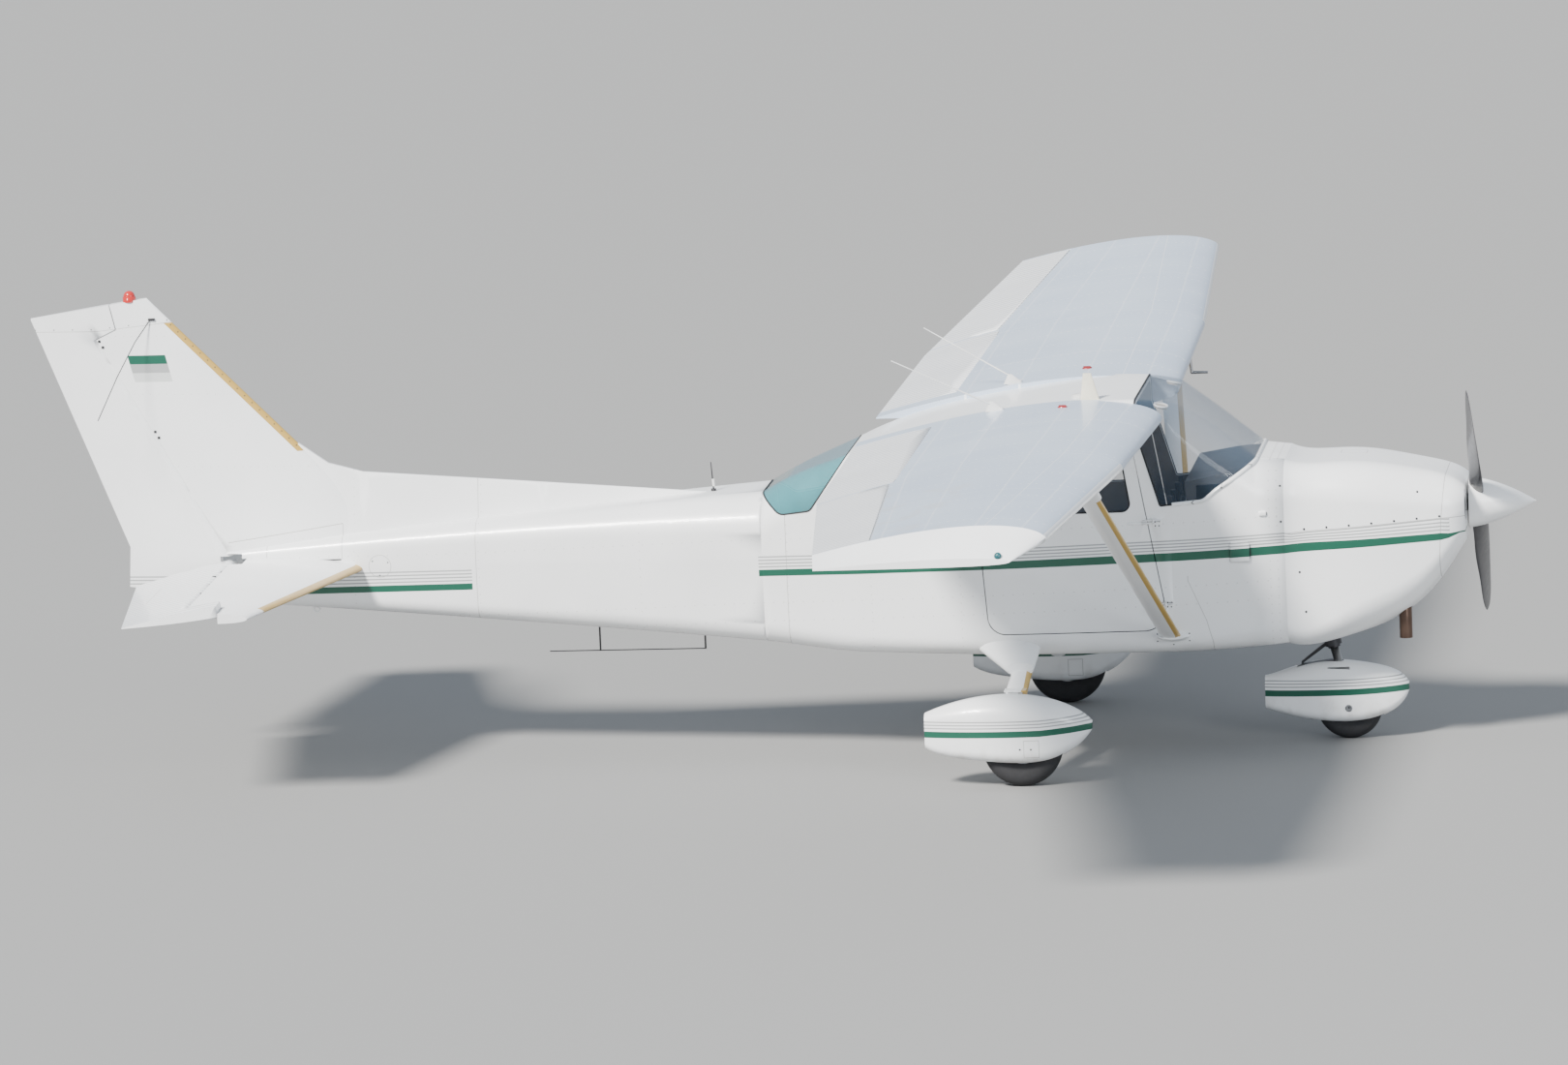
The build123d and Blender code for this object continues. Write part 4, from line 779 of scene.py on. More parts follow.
def glassPaint(name, colour, alpha):
    settings = glassSettings
    paint = Paint(name)
    paint.place()
    haze = paint.cloud(settings["hazeScale"], 0.4)
    lighter = tuple(min(1, c * settings["lighter"]) for c in colour[:3]) + (1,)
    paint.colour = paint.mix(haze, colour, lighter)
    paint.wire("Roughness", haze * settings["roughSpread"] + settings["smoothest"])
    facing = paint.node("ShaderNodeLayerWeight", inputs={"Blend": settings["blend"]}).outputs["Facing"]
    paint.wire("Alpha", Field(paint, facing) * settings["edgeAlpha"] + alpha)
    paint.set("Coat Weight", 1.0)
    paint.set("Coat Roughness", settings["smoothest"])
    return paint.finish()


print("making materials")
paints = {
    "body": bodyPaint(),
    "wing": wingPaint(),
    "fin": finPaint(),
    "rudder": rudderPaint(),
    "stabilizer": stabilizerPaint(),
    "surface": corrugatedPaint("surfacePaint", 0.075),
    "elevator": corrugatedPaint("elevatorPaint", 0.068, tabPattern),
    "plain": glossPaint("fairingPaint").finish(),
    "mainPant": pantPaint("mainPantPaint", pantPattern["main"], pantPattern["hatch"]),
    "nosePant": pantPaint("nosePantPaint", pantPattern["nose"]),
    "strut": legPaint("strutPaint", *legTapes["strut"]),
    "leg": legPaint("legPaint", *legTapes["leg"]),
    "clearGlass": glassPaint("clearGlass", (0.10, 0.17, 0.26, 1), 0.08),
    "tintedGlass": glassPaint("tintedGlass", (0.10, 0.34, 0.38, 1), 0.45),
    "interior": plainPaint("interiorTrim", (0.13, 0.115, 0.10, 1), 0.7, grain=60.0),
    "panel": plainPaint("panelBlack", (0.03, 0.03, 0.033, 1), 0.55),
    "carpet": plainPaint("carpetGrey", (0.12, 0.11, 0.10, 1), 0.95, grain=180.0, wear=0.4),
    "seatCloth": clothPaint("seatCloth", (0.055, 0.058, 0.075, 1)),
    "strip": stripPaint("windscreenStrip"),
    "steel": plainPaint("plainSteel", (0.50, 0.50, 0.51, 1), 0.35, 1.0),
    "darkSteel": plainPaint("darkSteel", (0.06, 0.06, 0.065, 1), 0.45, 0.6),
    "alloy": plainPaint("castAlloy", (0.72, 0.73, 0.74, 1), 0.38, 0.9),
    "copper": plainPaint("heatedPipe", (0.13, 0.085, 0.065, 1), 0.35, 0.9, wear=0.5),
    "rubber": plainPaint("tyreRubber", (0.022, 0.022, 0.024, 1), 0.8, grain=90.0),
    "blade": plainPaint("bladePaint", (0.035, 0.035, 0.040, 1), 0.4, coat=0.3),
    "engine": plainPaint("engineGrey", (0.10, 0.10, 0.11, 1), 0.6, 0.3),
    "redLens": plainPaint("redLens", (0.55, 0.015, 0.010, 1), 0.2, coat=1.0),
    "greenLens": plainPaint("greenLens", (0.006, 0.10, 0.115, 1), 0.2, coat=1.0),
    "beige": plainPaint("beigePlastic", (0.55, 0.49, 0.38, 1), 0.5),
    "ivory": plainPaint("ivoryPlastic", (0.80, 0.75, 0.60, 1), 0.45),
    "black": plainPaint("mattBlack", finishColours["black"], 0.7),
    "capRed": plainPaint("capRed", (0.30, 0.025, 0.030, 1), 0.45, coat=0.3),
    "whitePlastic": plainPaint("whitePlastic", (0.78, 0.78, 0.76, 1), 0.45),
}


# Meshes


def shadeMesh(mesh, angle):
    for face in mesh.polygons:
        face.use_smooth = True
    mesh.set_sharp_from_angle(angle=math.radians(angle))


# A painted copy of a CAD node, merged and smooth, stands for the node.
def skin(node, *paintNames, rule=None, angle=28):
    source = frame["nodes"][node]
    mesh = source.data.copy()
    mesh.materials.clear()
    for name in paintNames:
        mesh.materials.append(paints[name])
    work = bmesh.new()
    work.from_mesh(mesh)
    bmesh.ops.remove_doubles(work, verts=work.verts, dist=1e-5)
    bmesh.ops.dissolve_degenerate(work, edges=work.edges, dist=1e-6)
    for face in work.faces:
        face.material_index = rule(face) if rule else 0
    work.to_mesh(mesh)
    work.free()
    shadeMesh(mesh, angle)
    piece = bpy.data.objects.new(node + "_skin", mesh)
    bpy.context.scene.collection.objects.link(piece)
    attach(piece, source["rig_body"])
    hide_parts(node)
    return piece


cabinMiddle = {"height": 1.2, "facing": -0.25}


def inwardFace(face):  # 1 for a face that looks at the cabin's middle
    centre = face.calc_center_median()
    outward = Vector((0, centre.y, centre.z - cabinMiddle["height"]))
    return 1 if outward.normalized().dot(face.normal) < cabinMiddle["facing"] else 0


def makePiece(name, work, body, paint, angle=35):
    bmesh.ops.remove_doubles(work, verts=work.verts, dist=1e-5)
    bmesh.ops.recalc_face_normals(work, faces=work.faces)
    mesh = bpy.data.meshes.new(name)
    work.to_mesh(mesh)
    work.free()
    mesh.materials.append(paints[paint])
    shadeMesh(mesh, angle)
    piece = bpy.data.objects.new(name, mesh)
    bpy.context.scene.collection.objects.link(piece)
    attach(piece, body)
    return piece


def addRod(work, start, end, radius, endRadius=None, segments=24):
    line = end - start
    turn = line.to_track_quat("Z", "Y").to_matrix().to_4x4()
    bmesh.ops.create_cone(
        work, cap_ends=True, segments=segments, radius1=radius,
        radius2=radius if endRadius is None else endRadius, depth=line.length,
        matrix=Matrix.Translation((start + end) / 2) @ turn)


def addBall(work, centre, radius, stretch=(1, 1, 1)):
    bmesh.ops.create_uvsphere(
        work, u_segments=24, v_segments=12, radius=radius,
        matrix=Matrix.Translation(centre) @ Matrix.Diagonal(Vector((*stretch, 1))))


def addBox(work, centre, size, turn=None):
    place = Matrix.Translation(centre) @ (turn.to_4x4() if turn else Matrix.Identity(4))
    return bmesh.ops.create_cube(work, size=1, matrix=place @ Matrix.Diagonal(Vector((*size, 1))))["verts"]


def addRoundBox(work, centre, size, turn, rounding, segments):
    corners = addBox(work, centre, size, turn)
    if rounding:
        work.edges.index_update()
        edges = {edge for corner in corners for edge in corner.link_edges}
        edges = sorted(edges, key=lambda edge: edge.index)
        bmesh.ops.bevel(
            work, geom=edges, offset=rounding, offset_type="OFFSET", affect="EDGES", segments=segments,
            profile=0.5, material=-1)


# Painted skins of the CAD nodes


antennaZones = {"roof": 1.8, "bladeStation": 2.45, "bladeY": -0.35}


def antennaFace(face):  # dark below the roof, ivory for the blade by the windscreen, white for the rest
    centre = face.calc_center_median()
    if centre.z < antennaZones["roof"]:
        return 0
    ahead = centre.x > at(antennaZones["bladeStation"], 0, 0).x
    return 2 if ahead and centre.y < antennaZones["bladeY"] else 1


skinTable = {
    # node: paints, where the second one is for faces that look inwards
    "nose_bowl": ("body", "engine"),
    "upper_cowl": ("body", "engine"),
    "lower_cowl": ("body", "engine"),
    "cabin_shell": ("body", "interior"),
    "door_left": ("body", "interior"),
    "door_right": ("body", "interior"),
    "baggage_door": ("body", "interior"),
    "tailcone": ("body",),
    "dorsal_fin": ("body",),
    "fin": ("fin",),
    "rudder": ("rudder",),
    "stabilizer": ("stabilizer",),
    "elevator": ("elevator",),
    "wings": ("wing",),
    "wing_tips": ("plain",),
    "aileron_left": ("surface",),
    "aileron_right": ("surface",),
    "flap_left": ("surface",),
    "flap_right": ("surface",),
    "wing_struts": ("strut",),
    "gear_legs": ("leg",),
    "main_pants": ("mainPant",),
    "nose_pant": ("nosePant",),
    "spinner": ("plain",),
    "propeller": ("blade",),
    "engine_block": ("engine",),
    "windscreen": ("clearGlass",),
    "side_windows": ("clearGlass",),
    "door_glass_left": ("clearGlass",),
    "door_glass_right": ("clearGlass",),
    "rear_window": ("tintedGlass",),
    "cabin_floor": ("carpet",),
    "instrument_panel": ("panel",),
    "front_seats": ("seatCloth",),
    "rear_seat": ("seatCloth",),
    "seat_frames": ("steel",),
    "control_yokes": ("panel",),
    "nose_strut": ("darkSteel",),
    "nose_fork": ("steel",),
    "torque_links": ("darkSteel",),
    "exhaust_pipe": ("copper",),
    "beacon": ("redLens",),
    "antennas": ("panel", "whitePlastic", "ivory"),
    "pitot_tube": ("steel",),
    "cuffs": ("plain",),
    "tip_lamps": ("redLens", "greenLens"),
    "nose_tyre": ("rubber",),
    "main_tyre_left": ("rubber",),
    "main_tyre_right": ("rubber",),
    "nose_hub": ("alloy",),
    "main_hub_left": ("alloy",),
    "main_hub_right": ("alloy",),
}
ownRules = {
    "antennas": antennaFace,
    "tip_lamps": lambda face: 1 if face.calc_center_median().y < 0 else 0,
}
skins = {}
for node, names in skinTable.items():
    skins[node] = skin(node, *names, rule=ownRules.get(node, inwardFace if len(names) == 2 else None))
print("painted skins:", len(skinTable))


# The point and normal where a straight look from one side meets some nodes
trees = {}
lookFrom = {"side": 3, "top": 4}


def touch(nodes, start, direction):
    best = None
    for node in nodes:
        if node not in trees:
            mesh = skins[node].data
            corners = [vertex.co for vertex in mesh.vertices]
            trees[node] = BVHTree.FromPolygons(corners, [face.vertices for face in mesh.polygons])
        point, normal, number, reach = trees[node].ray_cast(start, direction)
        if point is not None and (best is None or reach < best[2]):
            best = (point, normal, reach)
    if best is None:
        raise ValueError("nothing to touch from " + str(tuple(start)))
    return best[0], best[1]


def onSide(nodes, station, height, side):
    return touch(nodes, at(station, side * lookFrom["side"], height), Vector((0, -side, 0)))


def onTop(nodes, station, y):
    return touch(nodes, at(station, y, lookFrom["top"]), Vector((0, 0, -1)))


def addDisc(work, point, normal, radius, thickness, segments=16, sink=0.0006):
    addRod(work, point - normal * sink, point + normal * thickness, radius, radius * 0.9, segments)


# Seats: pads swollen by cloth

seatSettings = {
    "voxel": 0.006,
    "pressure": 4.0,
    "frames": 20,
    "reach": 0.022,
    "rounding": 0.3,
    "fill": 0.7,
    "pads": {
        # size, place and lean in degrees; a pad whose y isn't 0 has a twin on the right
        "cushion": ((0.42, 0.40, 0.085), (2.475, 0.26, 0.965), 3),
        "backrest": ((0.075, 0.38, 0.50), (2.84, 0.26, 1.285), -17),
        "bench_cushion": ((0.36, 0.78, 0.085), (3.25, 0, 0.968), 3),
        "bench_back": ((0.07, 0.76, 0.36), (3.53, 0, 1.235), -17),
    },
}


def addPad(name, place, size, lean, settings):
    work = bmesh.new()
    turn = Matrix.Rotation(math.radians(lean), 3, "Y")
    addRoundBox(work, place, size, turn, min(size) * settings["rounding"], 3)
    piece = makePiece(name, work, "airframe", "seatCloth", 180)
    swell(piece, settings)
    return piece


def swell(piece, settings):
    bpy.context.view_layer.objects.active = piece
    piece.select_set(True)
    piece.data.remesh_voxel_size = settings["voxel"]
    bpy.ops.object.voxel_remesh()
    rest = [v.co.copy() for v in piece.data.vertices]
    cloth = piece.modifiers.new("swelling", "CLOTH")
    cloth.settings.use_pressure = True
    cloth.settings.uniform_pressure_force = settings["pressure"]
    cloth.settings.effector_weights.gravity = 0
    for number in range(1, settings["frames"] + 1):
        bpy.context.scene.frame_set(number)
    grown = piece.evaluated_get(bpy.context.evaluated_depsgraph_get()).to_mesh()
    moved = [v.co.copy() for v in grown.vertices]
    piece.modifiers.clear()
    bpy.context.scene.frame_set(1)
    for vertex, start, end in zip(piece.data.vertices, rest, moved):
        step = end - start
        vertex.co = start + step * min(1.0, settings["reach"] / max(step.length, 1e-9))
    finer = piece.modifiers.new("finer", "SUBSURF")
    finer.levels = finer.render_levels = 1
    piece.select_set(False)
    shadeMesh(piece.data, 180)


def addSeats(settings):
    made = {}
    for side, suffix in ((1, "_left"), (-1, "_right"), (0, "")):
        for kind, (size, (station, y, z), lean) in settings["pads"].items():
            if (side == 0) == (y == 0):
                made[kind + suffix] = addPad(kind + suffix, at(station, y * side, z), size, lean, settings)
    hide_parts("front_seats")
    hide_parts("rear_seat")
    for piece in made.values():
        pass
    for node in ("front_seats", "rear_seat"):
        bpy.data.objects.remove(skins.pop(node))


addSeats(seatSettings)
print("seats made")

# Tyres with grooves round the tread

tyreSettings = {
    # node: station, y, axle height, radius, width, rim radius, body
    "nose_tyre": (1.045, 0, 0.178, 0.178, 0.125, 0.076, "nose_wheel"),
    "main_tyre_left": (2.705, 1.255, 0.215, 0.215, 0.150, 0.092, "main_wheel_left"),
    "main_tyre_right": (2.705, -1.255, 0.215, 0.215, 0.150, 0.092, "main_wheel_right"),
}
treadSettings = {
    "grooves": (-0.30, -0.10, 0.10, 0.30),  # shares of the width
    "grooveSpread": 1.6,
    "grooveTop": 0.004,
    "grooveFoot": 0.003,
    "grooveDepth": 0.006,
    "corner": 0.46,  # shares of the side wall's height, and of half the width at the rim
    "wallFoot": 0.322,
    "rimWidth": 0.86,
    "cornerSteps": 5,
    "steps": 72,
}


def tyreOutline(radius, width, rim, tread):
    half, tall = width / 2, radius - rim
    corner = tall * tread["corner"]
    outline = [
        (-half * tread["rimWidth"], rim), (-half, rim + tall * tread["wallFoot"]), (-half, radius - corner)]
    for step in range(1, tread["cornerSteps"] + 1):
        angle = math.pi / 2 * step / tread["cornerSteps"]
        outline.append((-half + corner * (1 - math.cos(angle)), radius - corner * (1 - math.sin(angle))))
    wall = [(-across, reach) for across, reach in reversed(outline)]
    top, foot, depth = tread["grooveTop"], tread["grooveFoot"], tread["grooveDepth"]
    for share in tread["grooves"]:
        middle = share * width * (1 - corner / half) * tread["grooveSpread"]
        for shift, drop in ((-top, 0), (-foot, depth), (foot, depth), (top, 0)):
            outline.append((middle + shift, radius - drop))
    return outline + wall


def addTyre(node, station, y, axle, radius, width, rim, body):
    outline = tyreOutline(radius, width, rim, treadSettings)
    work = bmesh.new()
    ring = [work.verts.new(at(station, y + across, axle + reach)) for across, reach in outline]
    edges = [work.edges.new(pair) for pair in zip(ring, ring[1:] + ring[:1])]
    bmesh.ops.spin(
        work, geom=ring + edges, cent=at(station, y, axle), axis=(0, 1, 0), angle=math.tau,
        steps=treadSettings["steps"], use_merge=True)
    piece = makePiece(node + "_treaded", work, body, "rubber", 40)
    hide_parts(node)
    bpy.data.objects.remove(skins.pop(node))


for node, sizes in tyreSettings.items():
    addTyre(node, *sizes)


# Seals: a black bead round each pane, along its own sharp edges, and a white one at the windscreen's foot

sealSettings = {"radius": 0.0045, "sharpest": 55}
stripSettings = {"radius": 0.012, "rear": 1.93, "top": 1.68}


def addBead(name, node, radius, paint, chosen=None):
    work = bmesh.new()
    work.from_mesh(skins[node].data)
    rims = set()
    sharpest = math.radians(sealSettings["sharpest"])
    for edge in work.edges:
        sharp = len(edge.link_faces) == 2 and edge.calc_face_angle(0) > sharpest
        middle = (edge.verts[0].co + edge.verts[1].co) / 2
        if sharp and (chosen is None or chosen(middle)):
            rims.add(edge)
    bmesh.ops.delete(work, geom=work.faces[:], context="FACES_ONLY")
    bmesh.ops.delete(work, geom=[edge for edge in work.edges if edge not in rims], context="EDGES")
    mesh = bpy.data.meshes.new(name)
    work.to_mesh(mesh)
    work.free()
    piece = bpy.data.objects.new(name, mesh)
    bpy.context.scene.collection.objects.link(piece)
    bpy.ops.object.select_all(action="DESELECT")
    bpy.context.view_layer.objects.active = piece
    piece.select_set(True)
    bpy.ops.object.convert(target="CURVE")
    piece.data.bevel_depth = radius
    piece.data.bevel_resolution = 1
    piece.data.use_fill_caps = True
    bpy.ops.object.convert(target="MESH")
    piece.select_set(False)
    piece.data.materials.append(paints[paint])
    shadeMesh(piece.data, 60)
    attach(piece, frame["nodes"][node]["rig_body"])


def addSeals(seal, strip):
    for node in ("windscreen", "rear_window", "side_windows", "door_glass_left", "door_glass_right"):
        addBead(node + "_seal", node, seal["radius"], "rubber")
    rear = at(strip["rear"], 0, 0).x
    addBead(
        "windscreen_strip", "windscreen", strip["radius"], "strip",
        lambda middle: middle.x > rear and middle.z < strip["top"])


addSeals(sealSettings, stripSettings)
print("seals made")

# Instrument panel: dials with their rims and hands

dialSettings = {
    "station": 1.868,
    "height": 1.30,
    "pitch": 0.098,
    "radius": 0.040,
    "rows": 2,
    "columns": 3,
    "centres": (0.27, -0.20),
    "face": (0.92, 0.006, 24),  # share of the radius, thickness and segments
    "rim": (1.1, 0.004, 32),
    "handLift": 0.008,
    "handReach": 0.7,
    "handThickness": (0.0022, 0.0008),
    "handSegments": 8,
    "firstAngle": 40,
    "angleStep": 67,
}


def addDials(settings):
    faces, rims, hands = bmesh.new(), bmesh.new(), bmesh.new()
    rows, columns, pitch, radius = [settings[key] for key in ("rows", "columns", "pitch", "radius")]
    aft = Vector((-1, 0, 0))
    for centre in settings["centres"]:
        for row in range(rows):
            for column in range(columns):
                y = centre + (column - (columns - 1) / 2) * pitch
                spot = at(settings["station"], y, settings["height"] + (row - (rows - 1) / 2) * pitch)
                for work, part in ((faces, "face"), (rims, "rim")):
                    share, thickness, segments = settings[part]
                    addRod(work, spot, spot + aft * thickness, radius * share, segments=segments)
                turn = math.radians(settings["firstAngle"] + settings["angleStep"] * (row * columns + column))
                aim = Vector((0, math.cos(turn), math.sin(turn))) * radius * settings["handReach"]
                pivot = spot + aft * settings["handLift"]
                addRod(hands, pivot, pivot + aim, *settings["handThickness"], settings["handSegments"])
    makePiece("dial_faces", faces, "airframe", "panel")
    makePiece("dial_rims", rims, "airframe", "steel")
    makePiece("dial_hands", hands, "airframe", "whitePlastic")


addDials(dialSettings)

# Air vents inside the windscreen's top corners

cabinVentSettings = {
    "station": 1.975,
    "y": 0.42,
    "depth": 0.028,
    "radius": 0.036,
    "tube": 0.006,
    "tubeSegments": 10,
    "cover": 0.012,
    "segments": 32,
}


def addRing(work, centre, normal, settings):
    side = normal.orthogonal().normalized()
    turn = Matrix((side, normal, side.cross(normal))).transposed().to_4x4()
    place = Matrix.Translation(centre + side * settings["radius"]) @ turn
    made = bmesh.ops.create_circle(
        work, segments=settings["tubeSegments"], radius=settings["tube"], matrix=place)["verts"]
    edges = {edge for vertex in made for edge in vertex.link_edges}
    bmesh.ops.spin(
        work, geom=made + list(edges), cent=centre, axis=normal, angle=math.tau,
        steps=settings["segments"], use_merge=True)


def addCabinVents(settings):
    rings, covers = bmesh.new(), bmesh.new()
    for side in (1, -1):
        point, normal = onTop(("windscreen",), settings["station"], side * settings["y"])
        centre = point - normal * settings["depth"]
        addRing(rings, centre, normal, settings)
        foot = centre - normal * settings["cover"]
        addRod(covers, foot, centre, settings["radius"], segments=settings["segments"])
    makePiece("cabin_vent_rings", rings, "airframe", "whitePlastic", 180)
    makePiece("cabin_vents", covers, "airframe", "beige")


addCabinVents(cabinVentSettings)

# Fasteners and vents on the body

cowlNodes = ("nose_bowl", "upper_cowl", "lower_cowl", "cabin_shell")
fastenerSettings = {
    "first": 0.505,
    "pitch": 0.121,
    "count": 7,
    "lineRise": 0.012,
    "loose": [(1.352, 1.268), (1.262, 0.985), (1.235, 0.765), (0.62, 1.40), (1.352, 1.46)],
    "radius": 0.0065,
    "thickness": 0.0015,
}


def addFasteners(settings):
    work = bmesh.new()
    (startStation, startHeight), (endStation, endHeight) = bodyPattern["cowlSeam"]
    spots = list(settings["loose"])
    for number in range(settings["count"]):
        station = settings["first"] + settings["pitch"] * number
        share = (station - startStation) / (endStation - startStation)
        spots.append((station, startHeight + share * (endHeight - startHeight) + settings["lineRise"]))
    for side in (1, -1):
        for station, height in spots:
            point, normal = onSide(cowlNodes, station, height, side)
            addDisc(work, point, normal, settings["radius"], settings["thickness"])
    makePiece("cowl_fasteners", work, "airframe", "darkSteel")


addFasteners(fastenerSettings)


# The way ahead along a surface, and the turn that lays a box on it
def layOn(normal):
    ahead = (Vector((1, 0, 0)) - normal * normal.x).normalized()
    return ahead, Matrix((ahead, normal, ahead.cross(normal).normalized())).transposed()


ventSettings = {
    # station, height and size along, up and out
    "teardrop": (1.448, 1.316, (0.044, 0.030, 0.022)),
    "scoop": (1.576, 1.112, (0.112, 0.112, 0.030)),
    "rounding": 0.46,
    "mouth": (0.12, 0.45, 0.7),  # shares of the bump's out, out and up
    "mouthLift": 0.16,
}


# A vent is a rounded bump, painted as the body is, with a black ball at its front for the painted shade
# inside its mouth
def addVents(settings):
    alongShare, outShare, upShare = settings["mouth"]
    for side, name in ((1, "left"), (-1, "right")):
        bumps, mouthShades = bmesh.new(), bmesh.new()
        for kind in ("teardrop", "scoop"):
            station, height, (along, up, out) = settings[kind]
            point, normal = onSide(cowlNodes, station, height, side)
            ahead, turn = layOn(normal)
            addRoundBox(bumps, point, (along, out, up), turn, out * settings["rounding"], 5)
            front = point + ahead * (along / 2) + normal * out * settings["mouthLift"]
            # a black ball stands for the shade inside the mouth: painted shade
            addBall(mouthShades, front, 0.5, (out * alongShare, out * outShare, up * upShare))
        makePiece("side_vents_" + name, bumps, "airframe", "body", 50)
        makePiece("side_vent_mouth_shades_" + name, mouthShades, "airframe", "black")


addVents(ventSettings)

# Door hinges and handles: a plate on the cabin's side, an arm on the door

hingeSettings = {
    "plates": [(2.012, 1.283), (1.962, 0.837)],
    "plateSize": (0.052, 0.005, 0.046),
    "plateRounding": 0.002,
    "screws": [(-0.012, 0.012), (0.010, 0.012), (0.010, -0.012), (-0.010, -0.012)],
    "screwRadius": 0.0042,
    "screwLift": 0.0022,
    "screwThickness": 0.0012,
    "arm": (2.118, 1.285, (0.110, 0.010, 0.016)),
    "handle": (2.86, 1.150, (0.110, 0.022, 0.020)),
    "armRounding": 0.004,
}


def addPlate(work, point, normal, size, rounding=0.0):
    addRoundBox(work, point, size, layOn(normal)[1], rounding, 2)


def addHinges(settings):
    plates, screws = bmesh.new(), bmesh.new()
    for side, name in ((1, "left"), (-1, "right")):
        for station, height in settings["plates"]:
            point, normal = onSide(("cabin_shell",), station, height, side)
            addPlate(plates, point, normal, settings["plateSize"], settings["plateRounding"])
            for along, up in settings["screws"]:
                spot, normal = onSide(("cabin_shell",), station + along, height + up, side)
                spot = spot + normal * settings["screwLift"]
                addDisc(screws, spot, normal, settings["screwRadius"], settings["screwThickness"], 12)
        door = bmesh.new()
        for kind in ("arm", "handle"):
            station, height, size = settings[kind]
            point, normal = onSide(("door_" + name,), station, height, side)
            addPlate(door, point, normal, size, settings["armRounding"])
        makePiece("door_fittings_" + name, door, frame["nodes"]["door_" + name]["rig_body"], "plain")
    makePiece("hinge_plates", plates, "airframe", "plain")
    makePiece("hinge_screws", screws, "airframe", "darkSteel")


addHinges(hingeSettings)

# Screws round the strut's foot cuffs and the tail cone's round hatch, and on the wheel fairings

screwSettings = {
    # nodes, the ring's middle, its reach along and up, how many screws and the first one's turn
    "rings": [
        (("cabin_shell", "cuffs"), (1.948, 0.655), (0.100, 0.040), 6, math.tau / 12),
        (("tailcone",), (6.315, 1.070), (0.050, 0.050), 3, 0.6)],
    "ringRadius": 0.0042,
    "pant": [(2.709, 0.216), (2.650, 0.215)],
    "pantRadius": 0.0052,
    "thickness": 0.001,
}


def addScrewHeads(settings):
    work = bmesh.new()
    for side in (1, -1):
        spots = [(("main_pants",), spot, settings["pantRadius"]) for spot in settings["pant"]]
        for nodes, (station, height), (along, up), count, firstTurn in settings["rings"]:
            for number in range(count):
                turn = math.tau * number / count + firstTurn
                spot = (station + along * math.cos(turn), height + up * math.sin(turn))
                spots.append((nodes, spot, settings["ringRadius"]))
        for nodes, (station, height), radius in spots:
            point, normal = onSide(nodes, station, height, side)
            addDisc(work, point, normal, radius, settings["thickness"], 12)
    makePiece("screw_heads", work, "airframe", "darkSteel")


addScrewHeads(screwSettings)

# Feet of the roof whips, the aft whip's white band and the fin's two drooping rods

antennaSettings = {
    "whipFeet": [(2.865, 0.50), (2.865, -0.50)],
    "footRadii": (0.0575, 0.010),
    "footHeight": 0.055,
    "footShift": (-0.012, 0, 0.0235),
    "footNarrowing": 0.306,
    "footLean": -0.4,
    "band": ((4.478, 1.452), (4.481, 1.492)),
    "bandRadius": 0.0075,
    "rodPoints": [(7.545, 0.030, 2.440), (7.620, 0.110, 2.330), (7.705, 0.240, 2.155), (7.790, 0.400, 1.945)],
    "rodRadius": 0.0028,
    "mount": (7.537, 0.018, 2.442),
    "mountSize": (0.036, 0.036, 0.012),
}


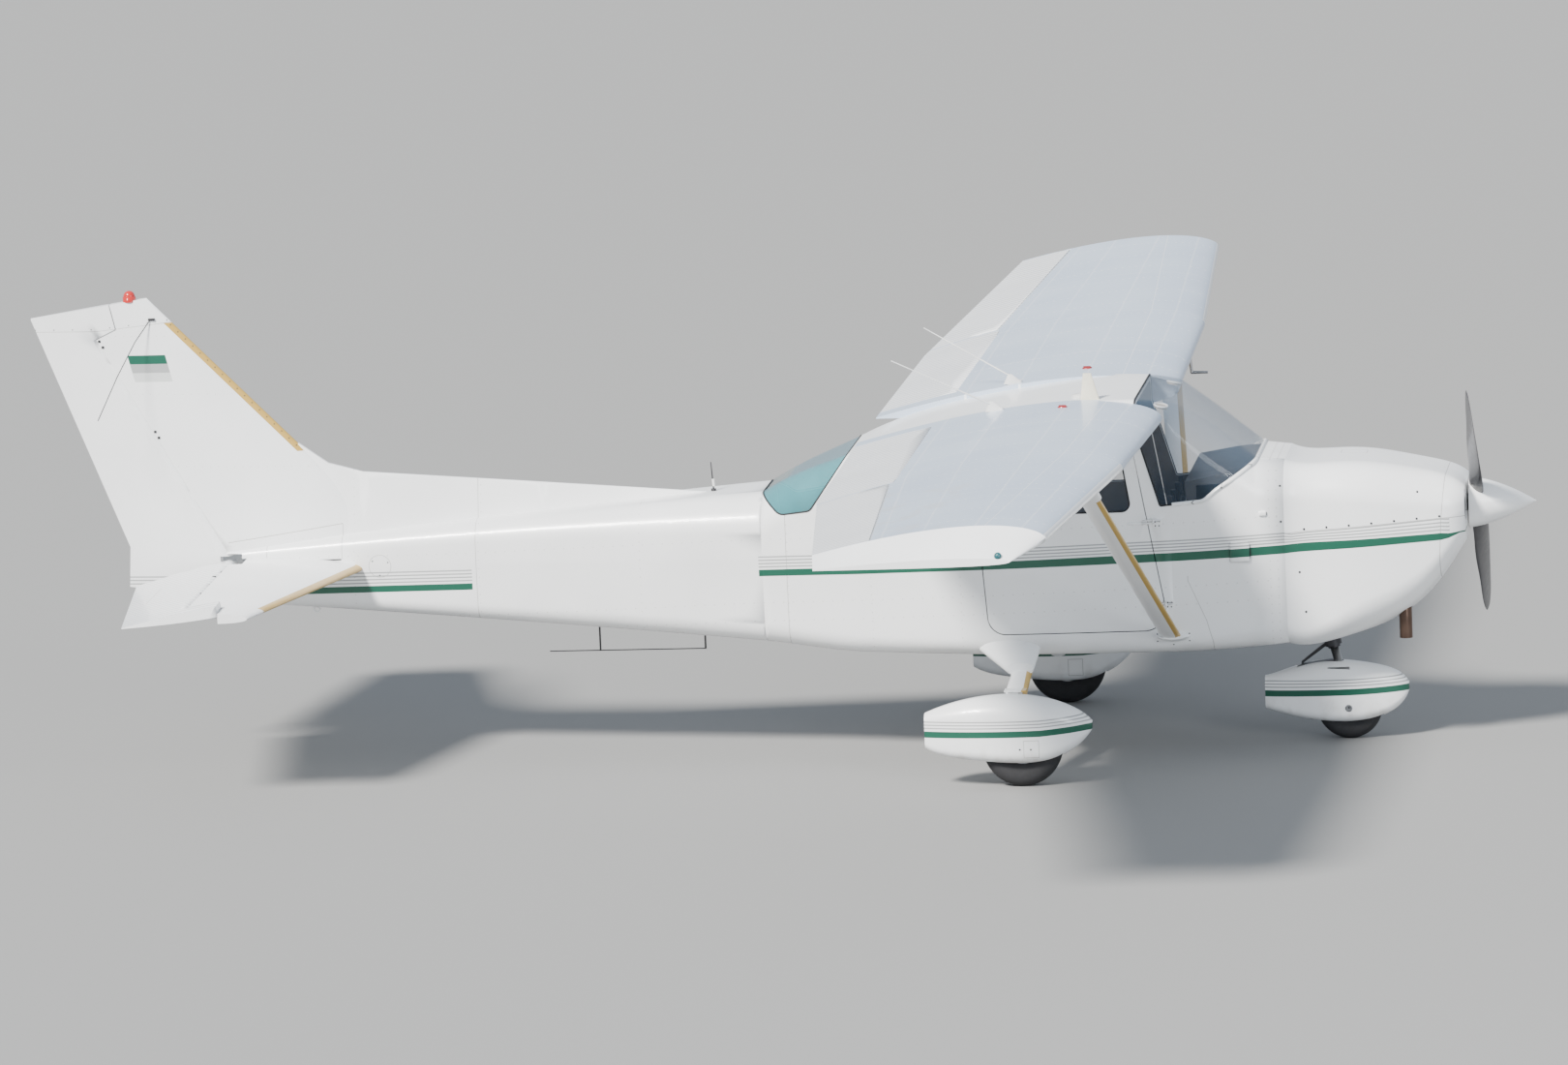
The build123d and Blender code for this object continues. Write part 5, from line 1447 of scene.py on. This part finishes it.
def addWhipFeet(settings):
    work = bmesh.new()
    lowRadius, highRadius = settings["footRadii"]
    slant = Matrix.Shear("XY", 4, (settings["footLean"], 0))
    narrow = Matrix.Diagonal(Vector((1, settings["footNarrowing"], 1, 1)))
    for station, y in settings["whipFeet"]:
        point, normal = onTop(("cabin_shell", "wings"), station, y)
        place = Matrix.Translation(point + Vector(settings["footShift"]))
        bmesh.ops.create_cone(
            work, cap_ends=True, segments=16, radius1=lowRadius, radius2=highRadius,
            depth=settings["footHeight"], matrix=place @ slant @ narrow)
    (lowStation, low), (highStation, high) = settings["band"]
    addRod(work, at(lowStation, 0, low), at(highStation, 0, high), settings["bandRadius"])
    makePiece("antenna_feet", work, "airframe", "whitePlastic")


def addFinRods(settings):
    work = bmesh.new()
    for side in (1, -1):
        route = [at(station, side * y, z) for station, y, z in settings["rodPoints"]]
        for start, end in zip(route, route[1:]):
            addRod(work, start, end, settings["rodRadius"], segments=10)
            addBall(work, end, settings["rodRadius"])
        station, y, z = settings["mount"]
        addBox(work, at(station, side * y, z), settings["mountSize"])
    makePiece("fin_rods", work, "airframe", "darkSteel")


addWhipFeet(antennaSettings)
addFinRods(antennaSettings)

# Small dark hinge brackets on the fin and the stabilizer, and the fuel caps

bracketSettings = {
    "fin": [(7.526, 1.789), (7.545, 1.822), (7.814, 2.294), (7.833, 2.327)],
    "finSize": (0.014, 0.004, 0.013),
    "finLift": 0.001,
    "stabilizer": [(7.140, 0.45), (7.155, 0.60), (7.140, 1.10)],
    "stabilizerSize": (0.020, 0.030, 0.006),
}


def addBrackets(settings):
    work = bmesh.new()
    for side in (1, -1):
        for station, height in settings["fin"]:
            point, normal = onSide(("fin",), station, height, side)
            addPlate(work, point + normal * settings["finLift"], normal, settings["finSize"])
        for station, y in settings["stabilizer"]:
            point, normal = onTop(("stabilizer", "elevator"), station, side * y)
            addBox(work, point, settings["stabilizerSize"])
    makePiece("hinge_brackets", work, "airframe", "black")


addBrackets(bracketSettings)

capSettings = {
    "station": 2.483,
    "y": 0.71,
    "radius": 0.028,
    "thickness": 0.005,
    "segments": 32,
    "tab": (0.040, 0.009, 0.008),
    "tabLift": 0.008,
}


def addFuelCaps(settings):
    work = bmesh.new()
    for side in (1, -1):
        point, normal = onTop(("wings",), settings["station"], side * settings["y"])
        addDisc(work, point, normal, settings["radius"], settings["thickness"], settings["segments"])
        addBox(work, point + normal * settings["tabLift"], settings["tab"])
    makePiece("fuel_caps", work, "airframe", "capRed")


addFuelCaps(capSettings)
print("small fittings made")

addCamera(cameraSettings)
addStudio(studioSettings)
lowCorner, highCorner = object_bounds()
print("finished")
